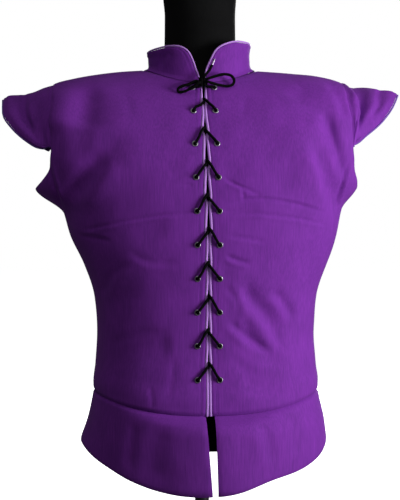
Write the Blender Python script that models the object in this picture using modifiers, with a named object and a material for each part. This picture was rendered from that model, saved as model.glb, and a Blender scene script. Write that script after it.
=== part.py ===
"""A laced, sleeveless gambeson on a tabletop dress form.

Metres, +Z up. The garment faces -Y, and its wearer's left is at +X. The origin is the middle of the
stand's underside. The cloth panels are walls cut from families of rings: a ring runs round the body at
one share of the way up, and an angle of 0 is the centre front, 90 degrees the wearer's left side and
180 degrees the centre back.
"""

import math
from collections import namedtuple

import bmesh
import bpy
import numpy as np
from mathutils import Vector

# Cloth and seams
BODY_CLOTH = 0.004
SKIRT_CLOTH = 0.004
COLLAR_CLOTH = 0.0035
WING_CLOTH = 0.003
SEAM_GAP = 0.0003
PIPING_RADIUS = 0.0015
SHARP_ANGLE = math.radians(50)

# Lacing: a cord through ten pairs of eyelets, which crosses in the slit between each pair and the next
LACE_RADIUS = 0.0023
LACE_CLEAR = 0.0006
EYELET_SIDE = 0.0178
EYELET_FIRST_Z = 0.300
EYELET_PITCH = 0.054
EYELET_PITCHES = 8
EYELET_TOP_Z = 0.771
EYELET_HOLE = 0.0031
EYELET_BARREL = 0.0037
EYELET_FLANGE = 0.0050
EYELET_LIP = 0.0008
EYELET_SIDES = 8
EYELET_CUTTER_DEPTH = 0.016
CROSSING_RISE = 0.025
TOP_CROSSING_RISE = 0.018
CROSSING_APART = 0.0026
SLIT_OPEN = 0.0029
SLIT_CLOSED = 0.0004

# The dress form and its stand
FORM_REST_GAP = 0.0006
FORM_LACE_ROOM = 0.007
POLE_RADIUS = 0.012
BASE_RADIUS = 0.170
BASE_THICK = 0.012
BASE_BEVEL = 0.003

RING_FIELDS = "share front_z side_z back_z half_width front back square centre_x front_x"
Ring = namedtuple("Ring", RING_FIELDS)

# From the waist seam, share 0, to the neckline, share 1
BODY_RINGS = (
    Ring(0.000, 0.243, 0.272, 0.270, 0.1900, 0.143, 0.128, 2.35, 0.0060, 0.003),
    Ring(0.030, 0.259, 0.286, 0.284, 0.1900, 0.143, 0.127, 2.35, 0.0060, 0.003),
    Ring(0.100, 0.297, 0.316, 0.314, 0.1865, 0.138, 0.118, 2.35, 0.0058, 0.003),
    Ring(0.220, 0.362, 0.372, 0.370, 0.1830, 0.133, 0.110, 2.35, 0.0055, 0.003),
    Ring(0.340, 0.427, 0.430, 0.428, 0.1880, 0.134, 0.111, 2.35, 0.0060, 0.003),
    Ring(0.440, 0.481, 0.481, 0.480, 0.2040, 0.138, 0.117, 2.40, 0.0055, 0.003),
    Ring(0.540, 0.535, 0.532, 0.532, 0.2250, 0.141, 0.124, 2.45, 0.0025, 0.0025),
    Ring(0.620, 0.578, 0.574, 0.574, 0.2350, 0.141, 0.129, 2.50, 0.0005, 0.002),
    Ring(0.680, 0.610, 0.607, 0.607, 0.2500, 0.139, 0.132, 2.60, 0.000, 0.001),
    Ring(0.760, 0.650, 0.665, 0.660, 0.2730, 0.134, 0.133, 2.70, -0.003, 0.000),
    Ring(0.840, 0.690, 0.730, 0.722, 0.2780, 0.124, 0.130, 2.70, -0.0045, -0.001),
    Ring(0.890, 0.716, 0.770, 0.760, 0.2620, 0.114, 0.123, 2.60, -0.006, -0.002),
    Ring(0.915, 0.730, 0.787, 0.777, 0.2400, 0.108, 0.118, 2.50, -0.0075, -0.002),
    Ring(0.940, 0.744, 0.796, 0.789, 0.2080, 0.101, 0.109, 2.40, -0.007, -0.0025),
    Ring(0.960, 0.756, 0.8015, 0.798, 0.1700, 0.094, 0.098, 2.30, -0.006, -0.0025),
    Ring(0.980, 0.769, 0.8055, 0.806, 0.1310, 0.086, 0.086, 2.20, -0.005, -0.0025),
    Ring(1.000, 0.784, 0.8080, 0.813, 0.0900, 0.078, 0.072, 2.10, -0.0045, -0.003),
)

# From the hem, share 0, to the waist seam, share 1
SKIRT_RINGS = (
    Ring(0.00, 0.1150, 0.1870, 0.1780, 0.2090, 0.1440, 0.1390, 2.20, 0.0025, 0.011),
    Ring(0.50, 0.1800, 0.2300, 0.2240, 0.1985, 0.1470, 0.1340, 2.30, 0.0065, 0.008),
    Ring(0.88, 0.2280, 0.2620, 0.2590, 0.1915, 0.1460, 0.1300, 2.35, 0.0062, 0.005),
    Ring(1.00, 0.2427, 0.2717, 0.2697, 0.1900, 0.1430, 0.1280, 2.35, 0.0060, 0.003),
)
SKIRT_ROWS = (0.0, 0.16, 0.36, 0.58, 0.78, 0.91, 1.0)
# The slit's two edges on the skirt, at the hem and at the waist seam
SlitEdge = namedtuple("SlitEdge", "side hem_x waist_x")
SKIRT_SLIT = (SlitEdge(1, 0.0170, 0.0124), SlitEdge(-1, 0.0085, -0.0020))
# Where the hem is higher or lower than its ring
HemWave = namedtuple("HemWave", "angle spread rise")
HEM_WAVES = (
    HemWave(23, 16, 0.012),
    HemWave(62, 14, -0.004),
    HemWave(-34, 20, -0.004),
    HemWave(-62, 14, -0.004),
)

# From the neckline, share 0, to the collar's top edge, share 1
COLLAR_RINGS = (
    Ring(0.00, 0.7850, 0.8090, 0.8140, 0.0880, 0.0770, 0.0710, 2.1, -0.0045, -0.003),
    Ring(0.25, 0.7990, 0.8170, 0.8230, 0.0855, 0.0790, 0.0715, 2.1, -0.0050, -0.003),
    Ring(0.60, 0.8190, 0.8290, 0.8350, 0.0855, 0.0830, 0.0735, 2.1, -0.0055, -0.003),
    Ring(1.00, 0.8440, 0.8420, 0.8500, 0.0880, 0.0890, 0.0780, 2.1, -0.0055, -0.003),
)
COLLAR_ROWS = (0.0, 0.08, 0.25, 0.42, 0.6, 0.76, 0.88, 0.96, 1.0)
COLLAR_TILT = 0.007
# From the collar's centre to the middle of its piping, on the wearer's left and right
Opening = namedtuple("Opening", "share left right")
COLLAR_OPENING = (
    Opening(0.00, 0.0035, 0.0050),
    Opening(0.20, 0.0048, 0.0095),
    Opening(0.35, 0.0070, 0.0128),
    Opening(0.50, 0.0112, 0.0156),
    Opening(0.65, 0.0158, 0.0195),
    Opening(0.78, 0.0210, 0.0240),
    Opening(0.88, 0.0300, 0.0310),
    Opening(0.96, 0.0440, 0.0420),
    Opening(1.00, 0.0570, 0.0550),
)

# The form's trunk from its underside to below the shoulders, and its neck
TRUNK_RINGS = (
    Ring(0.00, 0.180, 0.180, 0.180, 0.158, 0.106, 0.099, 2.3, 0.000, 0.000),
    Ring(0.02, 0.187, 0.187, 0.187, 0.164, 0.112, 0.105, 2.3, 0.000, 0.000),
    Ring(0.14, 0.250, 0.250, 0.250, 0.162, 0.111, 0.103, 2.3, 0.000, 0.000),
    Ring(0.32, 0.340, 0.340, 0.340, 0.150, 0.106, 0.091, 2.3, 0.000, 0.000),
    Ring(0.44, 0.400, 0.400, 0.400, 0.146, 0.104, 0.087, 2.3, 0.000, 0.000),
    Ring(0.60, 0.480, 0.480, 0.480, 0.158, 0.109, 0.093, 2.3, 0.000, 0.000),
    Ring(0.76, 0.560, 0.560, 0.560, 0.176, 0.115, 0.103, 2.3, 0.000, 0.000),
    Ring(0.90, 0.640, 0.640, 0.640, 0.190, 0.115, 0.110, 2.4, 0.000, 0.000),
    Ring(0.96, 0.680, 0.690, 0.686, 0.195, 0.108, 0.110, 2.4, -0.001, -0.001),
    Ring(0.98, 0.704, 0.734, 0.726, 0.195, 0.101, 0.108, 2.4, -0.003, -0.002),
    Ring(0.99, 0.722, 0.764, 0.753, 0.186, 0.095, 0.104, 2.4, -0.004, -0.003),
    Ring(1.00, 0.735, 0.784, 0.774, 0.172, 0.090, 0.098, 2.3, -0.005, -0.003),
)
NECK_RINGS = (
    Ring(0.00, 0.780, 0.8036, 0.8085, 0.0840, 0.0660, 0.0665, 2.1, -0.0045, -0.004),
    Ring(0.05, 0.791, 0.8110, 0.8160, 0.0720, 0.0630, 0.0625, 2.0, -0.0045, -0.004),
    Ring(0.14, 0.808, 0.8240, 0.8280, 0.0650, 0.0610, 0.0600, 2.0, -0.0040, -0.004),
    Ring(0.35, 0.845, 0.8500, 0.8500, 0.0600, 0.0585, 0.0580, 2.0, -0.0035, -0.0035),
    Ring(0.70, 0.900, 0.9000, 0.9000, 0.0595, 0.0580, 0.0580, 2.0, -0.0035, -0.0035),
    Ring(0.98, 0.938, 0.9380, 0.9380, 0.0620, 0.0595, 0.0595, 2.0, -0.0040, -0.004),
    Ring(1.00, 0.942, 0.9420, 0.9420, 0.0590, 0.0565, 0.0565, 2.0, -0.0040, -0.004),
)
# The body's rows whose undersides the form's shoulders carry
SHOULDER_SHARES = (0.965, 0.980, 0.992)

WING_START_SHARE = 0.780
TIP_SHARE = 0.915
FIXED_SHARES = (0.680, 0.690, 0.705, 0.730, 0.780, 0.810, 0.845, 0.880, 0.903, 0.915, 0.940)
FRONT_LOWER_SHARES = (0.0, 0.03, 0.065)
BACK_LOWER_SHARES = (0.0, 0.03, 0.09, 0.16, 0.23, 0.30, 0.37, 0.44, 0.50, 0.56, 0.61, 0.65)

# The armhole's edge: the angle at which the front and the back panel end
Armhole = namedtuple("Armhole", "share front_angle back_angle")
ARMHOLE = (
    Armhole(0.680, 90.0, 90.0),
    Armhole(0.690, 81.0, 81.5),
    Armhole(0.705, 74.5, 75.5),
    Armhole(0.730, 67.5, 69.5),
    Armhole(0.780, 61.0, 65.0),
    Armhole(0.845, 59.0, 63.5),
    Armhole(0.880, 62.5, 66.5),
    Armhole(0.903, 72.0, 74.0),
    Armhole(0.915, 90.0, 90.0),
)

# The cloth below each armhole, which stands out with no arm in it
Underarm = namedtuple("Underarm", "side size low peak high")
UNDERARMS = (Underarm(1, 0.011, 0.620, 0.697, 0.745), Underarm(-1, 0.030, 0.605, 0.680, 0.745))
UNDERARM_SPREAD = 25.0
# The wearer's left shoulder sits higher: the slope across, and the shares over which it comes and goes
SHOULDER_SLOPE = 0.012
SLOPE_SPAN = (0.70, 0.88, 0.93, 0.99)

# Each shoulder wing's free edge, by share of the way from its front end to the shoulder's tip
WingEdge = namedtuple("WingEdge", "share left_x left_z right_x right_z forward")
WING_EDGE = (
    WingEdge(0.00, 0.2480, 0.6790, 0.2580, 0.6715, 0.0690),
    WingEdge(0.15, 0.2580, 0.6860, 0.2740, 0.6755, 0.0650),
    WingEdge(0.30, 0.2690, 0.6960, 0.2890, 0.6845, 0.0600),
    WingEdge(0.60, 0.2965, 0.7195, 0.3170, 0.7100, 0.0450),
    WingEdge(0.80, 0.3190, 0.7465, 0.3320, 0.7345, 0.0270),
    WingEdge(1.00, 0.3335, 0.7715, 0.3340, 0.7595, 0.0000),
)
# How far the wing's cloth stands off the straight line from its seam to its free edge
WingSwell = namedtuple("WingSwell", "across left right")
WING_SWELLS = (
    WingSwell(0.00, 0.0000, 0.0000),
    WingSwell(0.20, 0.0028, -0.0004),
    WingSwell(0.45, 0.0010, -0.0028),
    WingSwell(0.70, 0.0016, -0.0004),
    WingSwell(0.88, 0.0026, 0.0028),
    WingSwell(1.00, 0.0000, 0.0000),
)
WING_REACH = 0.090
WING_BACK_RISE = 0.008
WING_END_WIDTH = 0.005
WING_END_SHARE = 0.05
WING_PIPING_GAP = 0.0006

# Soft troughs, and ridges where the depth is negative, that run from (x0, z0) to (x1, z1)
Fold = namedtuple("Fold", "x0 z0 x1 z1 width depth")
FRONT_FOLDS = (
    Fold(0.185, 0.730, 0.222, 0.575, 0.016, 0.0060),
    Fold(0.150, 0.775, 0.215, 0.700, 0.018, 0.0035),
    Fold(0.150, 0.690, 0.180, 0.560, 0.022, -0.0030),
    Fold(0.045, 0.395, 0.120, 0.320, 0.018, 0.0040),
    Fold(0.055, 0.450, 0.160, 0.360, 0.020, 0.0030),
    Fold(0.050, 0.300, 0.150, 0.265, 0.018, 0.0025),
    Fold(-0.190, 0.770, -0.205, 0.640, 0.020, 0.0040),
    Fold(-0.150, 0.680, -0.222, 0.580, 0.022, 0.0050),
    Fold(-0.060, 0.545, -0.200, 0.520, 0.018, 0.0025),
    Fold(-0.060, 0.360, -0.150, 0.330, 0.022, 0.0030),
)
BACK_FOLDS = (
    Fold(0.160, 0.740, 0.205, 0.600, 0.020, 0.0045),
    Fold(-0.150, 0.740, -0.210, 0.590, 0.022, 0.0045),
    Fold(0.100, 0.420, -0.030, 0.380, 0.020, 0.0035),
    Fold(-0.120, 0.360, 0.020, 0.335, 0.022, 0.0030),
    Fold(0.020, 0.560, 0.150, 0.500, 0.020, 0.0025),
)
# Over these spans of x, of the share up the body and of the cosine of the angle, folds fade in or out
FOLD_FREE_OF_LACING = (0.050, 0.070)
FOLD_FREE_OF_WAIST = (0.0, 0.05)
FOLD_FREE_OF_SHOULDER = (0.93, 0.965)
FOLD_FREE_OF_SIDE = (0.0, 0.25)

# A front panel's columns, as shares of the way round from the slit to the side
FRONT_COLUMNS = (0.0, 0.12, 0.25, 0.39, 0.53, 0.67, 0.79, 0.90, 1.0)
BACK_COLUMNS = 12

# The bow: x, y and z along each strand, and the ways in which the strands leave the knot
KNOT_CENTRE = (-0.0037, -0.0905, 0.7800)
KNOT_RADII = (0.0078, 0.0060, 0.0070)
KNOT_STRAND = 0.0040
LACE_TO_KNOT = {1: (0.75, 0.10, -0.75), -1: (-0.75, 0.05, -0.80)}
LEFT_LOOP_KNOT = ((0.85, -0.25, 0.55), (0.85, -0.75, 0.0))
LEFT_LOOP = (
    (0.0178, -0.0895, 0.7902),
    (0.0265, -0.0880, 0.7928),
    (0.0344, -0.0865, 0.7935),
    (0.0427, -0.0850, 0.7915),
    (0.0475, -0.0840, 0.7852),
    (0.0462, -0.0840, 0.7785),
    (0.0387, -0.0860, 0.7742),
    (0.0259, -0.0895, 0.7752),
    (0.0150, -0.0935, 0.7772),
)
RIGHT_LOOP_KNOT = ((-1.0, -0.15, 0.15), (-0.80, -0.80, -0.20))
RIGHT_LOOP = (
    (-0.0215, -0.0935, 0.7790),
    (-0.0290, -0.0950, 0.7755),
    (-0.0380, -0.0945, 0.7730),
    (-0.0440, -0.0930, 0.7690),
    (-0.0435, -0.0920, 0.7645),
    (-0.0370, -0.0935, 0.7635),
    (-0.0280, -0.0955, 0.7670),
    (-0.0190, -0.0975, 0.7720),
)
UPPER_END_KNOT = (0.25, -0.30, 0.95)
UPPER_END = (
    (0.0035, -0.0890, 0.7955),
    (0.0070, -0.0870, 0.8000),
    (0.0113, -0.0865, 0.8085),
)
UPPER_AGLET_TIP = (0.0157, -0.0875, 0.8185)
LOWER_END_KNOT = (-0.70, 0.55, 0.10)
LOWER_END = (
    (-0.0180, -0.0865, 0.7795),
    (-0.0245, -0.0868, 0.7775),
    (-0.0305, -0.0870, 0.7750),
)
LOWER_AGLET_TIP = (-0.0405, -0.0885, 0.7707)
AGLET_RADIUS = 0.0020

NORMAL_STEP = 1e-4
LILAC = (0.47, 0.24, 0.82)
PURPLE = (0.14, 0.03, 0.30)
BLACK = (0.008, 0.008, 0.010)
STEEL = (0.62, 0.62, 0.65)
PALE_PINK = (0.75, 0.55, 0.75)

Panel = namedtuple("Panel", "outer inner")
# Half the slit by height above a crossing: closed just below it and open across it
SlitStep = namedtuple("SlitStep", "above half")
SLIT_STEPS = (SlitStep(-0.011, SLIT_CLOSED), SlitStep(-0.006, SLIT_OPEN), SlitStep(0.006, SLIT_OPEN))
SLIT_AT_WAIST = 0.0022
SLIT_AT_NECKLINE = 0.0018
# The lace's stations in a stitch: x out from the slit, height above the crossing and height off the cloth
Station = namedtuple("Station", "side_x above out")
LACE_BEHIND = -(BODY_CLOTH + LACE_RADIUS + LACE_CLEAR)
LACE_OVER_EYELET = EYELET_LIP + SEAM_GAP + LACE_RADIUS + LACE_CLEAR
STITCH = (
    Station(0.0065, -0.0080, 0.0034),
    Station(0.0008, -0.0005, 0.0014),
    Station(-0.0008, 0.0005, -0.0053),
    Station(-0.0052, 0.0040, LACE_BEHIND),
)


def material(name, colour, roughness, metallic=0.0):
    made = bpy.data.materials.new(name)
    made.use_nodes = True
    shader = made.node_tree.nodes["Principled BSDF"]
    shader.inputs["Base Color"].default_value = (*colour, 1.0)
    shader.inputs["Roughness"].default_value = roughness
    shader.inputs["Metallic"].default_value = metallic
    return made


def unit(vectors):
    return vectors / np.linalg.norm(vectors, axis=-1, keepdims=True)


def smooth_step(low, high, value):
    share = np.clip((value - low) / (high - low), 0.0, 1.0)
    return share * share * (3.0 - 2.0 * share)


def column(rows, name):
    return np.array([getattr(row, name) for row in rows], float)


def smooth_value(at, known, values):
    """A cubic curve through a table's values, with harmonic slopes so that it never overshoots them."""
    step = np.diff(known)
    slope = np.diff(values) / step
    knot_slope = np.zeros(len(values))
    product = slope[:-1] * slope[1:]
    total = np.where(product > 0, slope[:-1] + slope[1:], 1.0)
    knot_slope[1:-1] = np.where(product > 0, 2 * product / total, 0.0)
    knot_slope[0], knot_slope[-1] = slope[0], slope[-1]
    at = np.clip(at, known[0], known[-1])
    i = np.clip(np.searchsorted(known, at, side="right") - 1, 0, len(step) - 1)
    u = (at - known[i]) / step[i]
    return (
        values[i] * (1 + 2 * u) * (1 - u) ** 2
        + knot_slope[i] * step[i] * u * (1 - u) ** 2
        + values[i + 1] * u * u * (3 - 2 * u)
        + knot_slope[i + 1] * step[i] * u * u * (u - 1)
    )


def ring_value(rings, share, name):
    return smooth_value(share, column(rings, "share"), column(rings, name))


def ring_point(rings, share, angle):
    """A superellipse in plan, whose front and back halves have depths and heights of their own."""
    share, angle = np.broadcast_arrays(np.asarray(share, float), np.asarray(angle, float))
    front_z, side_z, back_z, half_width, front, back, square, centre_x, front_x = (
        ring_value(rings, share, name) for name in RING_FIELDS.split()[1:]
    )
    sine, cosine = np.sin(angle), np.cos(angle)
    in_front = cosine > 0
    x = centre_x + half_width * np.sign(sine) * np.abs(sine) ** (2 / square)
    x = x + np.where(in_front, front_x - centre_x, 0.0) * cosine**2
    y = -np.sign(cosine) * np.where(in_front, front, back) * np.abs(cosine) ** (2 / square)
    z = side_z + (np.where(in_front, front_z, back_z) - side_z) * cosine**2
    return np.stack([x, y, z], axis=-1)


def normals(surface, share, angle):
    """Outward unit normals, from differences of the surface a small step away and within its rings."""
    share = np.clip(share, 3 * NORMAL_STEP, 1.0 - 3 * NORMAL_STEP)
    up = surface(share + NORMAL_STEP, angle) - surface(share - NORMAL_STEP, angle)
    around = surface(share, angle + NORMAL_STEP) - surface(share, angle - NORMAL_STEP)
    return unit(np.cross(around, up))


def fold_depth(folds, x, z):
    """How far the folds push the cloth in at a front or back view's point, each fading across and along."""
    total = np.zeros(np.shape(x))
    for fold in folds:
        run_x, run_z = fold.x1 - fold.x0, fold.z1 - fold.z0
        length = math.hypot(run_x, run_z)
        along = ((x - fold.x0) * run_x + (z - fold.z0) * run_z) / length**2
        across = ((x - fold.x0) * run_z - (z - fold.z0) * run_x) / length
        past_end = np.maximum(0.0, np.abs(along - 0.5) - 0.3) * length
        faded = np.exp(-((across / fold.width) ** 2) - (past_end / (1.5 * fold.width)) ** 2)
        total = total + fold.depth * faded
    return total


def body_without_folds(share, angle):
    share, angle = np.broadcast_arrays(np.asarray(share, float), np.asarray(angle, float))
    point = ring_point(BODY_RINGS, share, angle)
    come, full, leave, gone = SLOPE_SPAN
    slope = SHOULDER_SLOPE * smooth_step(come, full, share) * (1.0 - smooth_step(leave, gone, share))
    point[..., 2] += slope * point[..., 0]
    from_side = (np.abs(np.degrees(angle)) - 90.0) / UNDERARM_SPREAD
    for flare in UNDERARMS:
        rise = smooth_step(flare.low, flare.peak, share) * (1.0 - smooth_step(flare.peak, flare.high, share))
        on_side = np.where(flare.side * angle > 0, np.exp(-from_side * from_side), 0.0)
        point[..., 0] += flare.side * flare.size * rise * on_side
    return point


def body_surface(share, angle):
    """The body's outer face, with its folds."""
    share, angle = np.broadcast_arrays(np.asarray(share, float), np.asarray(angle, float))
    point = body_without_folds(share, angle)
    x, z = point[..., 0], point[..., 2]
    front = smooth_step(*FOLD_FREE_OF_LACING, np.abs(x)) * fold_depth(FRONT_FOLDS, x, z)
    depth = np.where(np.cos(angle) > 0, front, fold_depth(BACK_FOLDS, x, z))
    depth = depth * smooth_step(*FOLD_FREE_OF_WAIST, share)
    depth = depth * (1.0 - smooth_step(*FOLD_FREE_OF_SHOULDER, share))
    depth = depth * smooth_step(*FOLD_FREE_OF_SIDE, np.abs(np.cos(angle)))
    return point - normals(body_without_folds, share, angle) * depth[..., None]


def skirt_surface(share, angle):
    """The skirt's outer face, with a hem that rises and falls."""
    share, angle = np.broadcast_arrays(np.asarray(share, float), np.asarray(angle, float))
    point = ring_point(SKIRT_RINGS, share, angle)
    for wave in HEM_WAVES:
        off = (np.degrees(angle) - wave.angle) / wave.spread
        point[..., 2] += wave.rise * (1.0 - share) * np.exp(-off * off)
    return point


def collar_surface(share, angle):
    """The collar's outer face, higher on the wearer's left."""
    share, angle = np.broadcast_arrays(np.asarray(share, float), np.asarray(angle, float))
    point = ring_point(COLLAR_RINGS, share, angle)
    point[..., 2] += COLLAR_TILT * share * np.sin(angle)
    return point


def angle_at_x(rings, share, x):
    """The angle at which a ring's front has this x."""
    centre_x, front_x, half_width, square = (
        ring_value(rings, share, name) for name in ("centre_x", "front_x", "half_width", "square")
    )
    angle = np.zeros(np.shape(x))
    for _ in range(5):
        middle = centre_x + (front_x - centre_x) * np.cos(angle) ** 2
        reach = np.clip((x - middle) / half_width, -1.0, 1.0)
        angle = np.sign(reach) * np.arcsin(np.abs(reach) ** (square / 2))
    return angle


def side_gap_angle(rings, share, depth_name):
    """The angle off the side at which half a seam gap opens between the front and the back."""
    depth = ring_value(rings, share, depth_name)
    square = ring_value(rings, share, "square")
    return np.arcsin((0.5 * SEAM_GAP / depth) ** (square / 2))


def share_at_front_z(front_z):
    dense = np.linspace(0.0, 1.0, 2001)
    return np.interp(front_z, ring_value(BODY_RINGS, dense, "front_z"), dense)


def front_centre_x(z):
    return ring_value(BODY_RINGS, share_at_front_z(z), "front_x")


def eyelet_heights():
    return [EYELET_FIRST_Z + i * EYELET_PITCH for i in range(EYELET_PITCHES + 1)] + [EYELET_TOP_Z]


def crossing_heights():
    """Where the two halves of the lace cross in the slit, which is widest there."""
    heights = eyelet_heights()
    return [z + CROSSING_RISE for z in heights[:-2]] + [heights[-2] + TOP_CROSSING_RISE]


def slit_heights():
    return [crossing + step.above for crossing in crossing_heights() for step in SLIT_STEPS]


def slit_half(front_z):
    """Half the distance between the two pipings at a height on the centre front."""
    heights = [BODY_RINGS[0].front_z, *slit_heights(), BODY_RINGS[-1].front_z]
    steps = [step.half for _ in crossing_heights() for step in SLIT_STEPS]
    return np.interp(front_z, heights, [SLIT_AT_WAIST, *steps, SLIT_AT_NECKLINE])


def front_shares():
    """A front panel's rows: the slit's, and those that the armhole and the shoulder need."""
    fixed = np.array([*FRONT_LOWER_SHARES, *FIXED_SHARES, *SHOULDER_SHARES, 1.0])
    slit = share_at_front_z(np.array(slit_heights()))
    apart = np.abs(slit[:, None] - fixed[None, :]).min(axis=1)
    return np.sort(np.concatenate([slit[apart > 0.006], fixed]))


def back_shares():
    return np.array([*BACK_LOWER_SHARES, *FIXED_SHARES, *SHOULDER_SHARES, 1.0])


def armhole_angle(share, name):
    return np.radians(smooth_value(share, column(ARMHOLE, "share"), column(ARMHOLE, name)))


def half_round(start, end, shares):
    """Rows of angles from each row's start to its end, with columns at the given shares of the way."""
    shares = np.asarray(shares)
    return start[:, None] + (end - start)[:, None] * shares[None, :]


def signed(angles):
    """Angles past the centre back, as angles on the wearer's right."""
    return np.where(angles > math.pi, angles - 2 * math.pi, angles)


def mesh_object(name, points, faces, collection, made_of):
    mesh = bpy.data.meshes.new(name)
    mesh.from_pydata(points.tolist(), [], [list(map(int, face)) for face in faces])
    mesh.update()
    mesh.materials.append(made_of)
    made = bpy.data.objects.new(name, mesh)
    collection.objects.link(made)
    mesh.shade_smooth()
    mesh.set_sharp_from_angle(angle=SHARP_ANGLE)
    return made


def wall(name, panel, collection, made_of):
    """A cloth wall: a loft of rows over an outer and an inner grid, closed round its four edges."""
    rows, columns = panel.outer.shape[:2]
    count = rows * columns
    index = np.arange(count).reshape(rows, columns)
    a, b, c, d = index[:-1, :-1], index[:-1, 1:], index[1:, 1:], index[1:, :-1]
    outside = np.stack([a, b, c, d], axis=-1).reshape(-1, 4)
    faces = [outside, outside[:, ::-1] + count]
    for line in (index[0, ::-1], index[:, 0], index[-1, :], index[::-1, -1]):
        faces.append(np.stack([line[:-1], line[1:], line[1:] + count, line[:-1] + count], axis=-1))
    points = np.concatenate([panel.outer.reshape(-1, 3), panel.inner.reshape(-1, 3)])
    return mesh_object(name, points, np.concatenate(faces), collection, made_of)


def panel_on(surface, shares, angles, cloth):
    share = np.broadcast_to(np.asarray(shares)[:, None], angles.shape)
    outer = surface(share, angles)
    return Panel(outer, outer - normals(surface, share, angles) * cloth)


def front_panel(side):
    """The body's front on one side: slit edge, side seam, armhole edge and shoulder seam."""
    shares = front_shares()
    front_z = ring_value(BODY_RINGS, shares, "front_z")
    edge = slit_half(front_z) + 2 * PIPING_RADIUS + SEAM_GAP
    slit_x = ring_value(BODY_RINGS, shares, "front_x") + side * edge
    start = angle_at_x(BODY_RINGS, shares, slit_x)
    end = armhole_angle(shares, "front_angle") - side_gap_angle(BODY_RINGS, shares, "front")
    angles = half_round(start, side * end, FRONT_COLUMNS)
    return panel_on(body_surface, shares, angles[:, ::side], BODY_CLOTH)


def back_panel():
    """The body's back in one piece."""
    shares = back_shares()
    start = math.pi - armhole_angle(shares, "back_angle") + side_gap_angle(BODY_RINGS, shares, "back")
    angles = half_round(start, 2 * math.pi - start, np.linspace(0, 1, BACK_COLUMNS + 1))
    return panel_on(body_surface, shares, signed(angles), BODY_CLOTH)


def with_waist_seam(panel, angles):
    """The skirt's top row leans as the body's lowest row does, so that the seam stays even."""
    lean = normals(body_without_folds, np.zeros(angles.shape[1]), angles[-1])
    panel.inner[-1] = panel.outer[-1] - lean * SKIRT_CLOTH
    return panel


def skirt_front(edge):
    """Half of the skirt's front, from the slit to the side seam."""
    shares = np.array(SKIRT_ROWS)
    start = angle_at_x(SKIRT_RINGS, shares, edge.hem_x + (edge.waist_x - edge.hem_x) * shares)
    end = math.pi / 2 - side_gap_angle(SKIRT_RINGS, shares, "front")
    angles = half_round(start, edge.side * end, FRONT_COLUMNS)[:, :: edge.side]
    return with_waist_seam(panel_on(skirt_surface, shares, angles, SKIRT_CLOTH), angles)


def skirt_back():
    shares = np.array(SKIRT_ROWS)
    start = math.pi / 2 + side_gap_angle(SKIRT_RINGS, shares, "back")
    angles = signed(half_round(start, 2 * math.pi - start, np.linspace(0, 1, BACK_COLUMNS + 1)))
    return with_waist_seam(panel_on(skirt_surface, shares, angles, SKIRT_CLOTH), angles)


def collar_angles(shares):
    """The collar's columns: a front's on each side, which close up as the V opens, and the back's."""
    front_x = ring_value(COLLAR_RINGS, shares, "front_x")
    known = column(COLLAR_OPENING, "share")
    ends = []
    for side, name in ((1, "left"), (-1, "right")):
        half = smooth_value(shares, known, column(COLLAR_OPENING, name)) + PIPING_RADIUS + SEAM_GAP
        ends.append(angle_at_x(COLLAR_RINGS, shares, front_x + side * half))
    quarter = np.full(len(shares), math.pi / 2)
    left = half_round(ends[0], quarter, FRONT_COLUMNS)[:, :-1]
    back = half_round(quarter, 3 * quarter, np.linspace(0, 1, BACK_COLUMNS + 1))
    right = half_round(3 * quarter, 4 * quarter + ends[1], 1 - np.array(FRONT_COLUMNS)[::-1])[:, 1:]
    return signed(np.concatenate([left, back, right], axis=1))


def collar_panel():
    """The standing collar, which rises from the body's face beside the neckline."""
    shares = np.array(COLLAR_ROWS)
    angles = collar_angles(shares)
    panel = panel_on(collar_surface, shares, angles, COLLAR_CLOTH)
    neckline = np.ones(angles.shape[1])
    inside = neckline - 10 * NORMAL_STEP
    edge = body_surface(neckline, angles[0])
    up = unit(edge - body_surface(inside, angles[0]))
    off = normals(body_surface, inside, angles[0]) * SEAM_GAP
    panel.outer[0] = edge - up * COLLAR_CLOTH + off
    panel.inner[0] = edge + off
    return panel


def away_from_edge(line, facing):
    """In-surface directions that point off a panel's edge, longer at bends so that offsets stay parallel."""
    run = unit(np.diff(line, axis=0))
    run = np.concatenate([run[:1], run, run[-1:]])
    before = unit(np.cross(run[:-1], facing))
    after = unit(np.cross(run[1:], facing))
    middle = unit(before + after)
    return middle / np.sum(middle * after, axis=-1, keepdims=True)


def piping_route(panel, steps, gap=SEAM_GAP):
    """A piping's middle line, just off the edge that a panel's (row, column) steps follow."""
    outer = np.array([panel.outer[step] for step in steps])
    inner = np.array([panel.inner[step] for step in steps])
    line = (outer + inner) / 2
    facing = unit(outer - inner)
    facing[0], facing[-1] = facing[1], facing[-2]
    return line + away_from_edge(line, facing) * (PIPING_RADIUS + gap)


def wing_root(front, back, side):
    """The armhole's edge from the front end of a wing over the shoulder's tip to its back end."""
    shares = front_shares()
    front_rows = np.nonzero((shares > WING_START_SHARE - NORMAL_STEP) & (shares < TIP_SHARE + NORMAL_STEP))[0]
    shares = back_shares()
    back_rows = np.nonzero((shares > WING_START_SHARE - NORMAL_STEP) & (shares < TIP_SHARE - NORMAL_STEP))[0]
    front_column = -1 if side > 0 else 0
    back_column = 0 if side > 0 else -1
    outer = [front.outer[front_rows, front_column], back.outer[back_rows[::-1], back_column]]
    inner = [front.inner[front_rows, front_column], back.inner[back_rows[::-1], back_column]]
    outer, inner = np.concatenate(outer), np.concatenate(inner)
    return outer, unit(outer - inner), len(front_rows)


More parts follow.
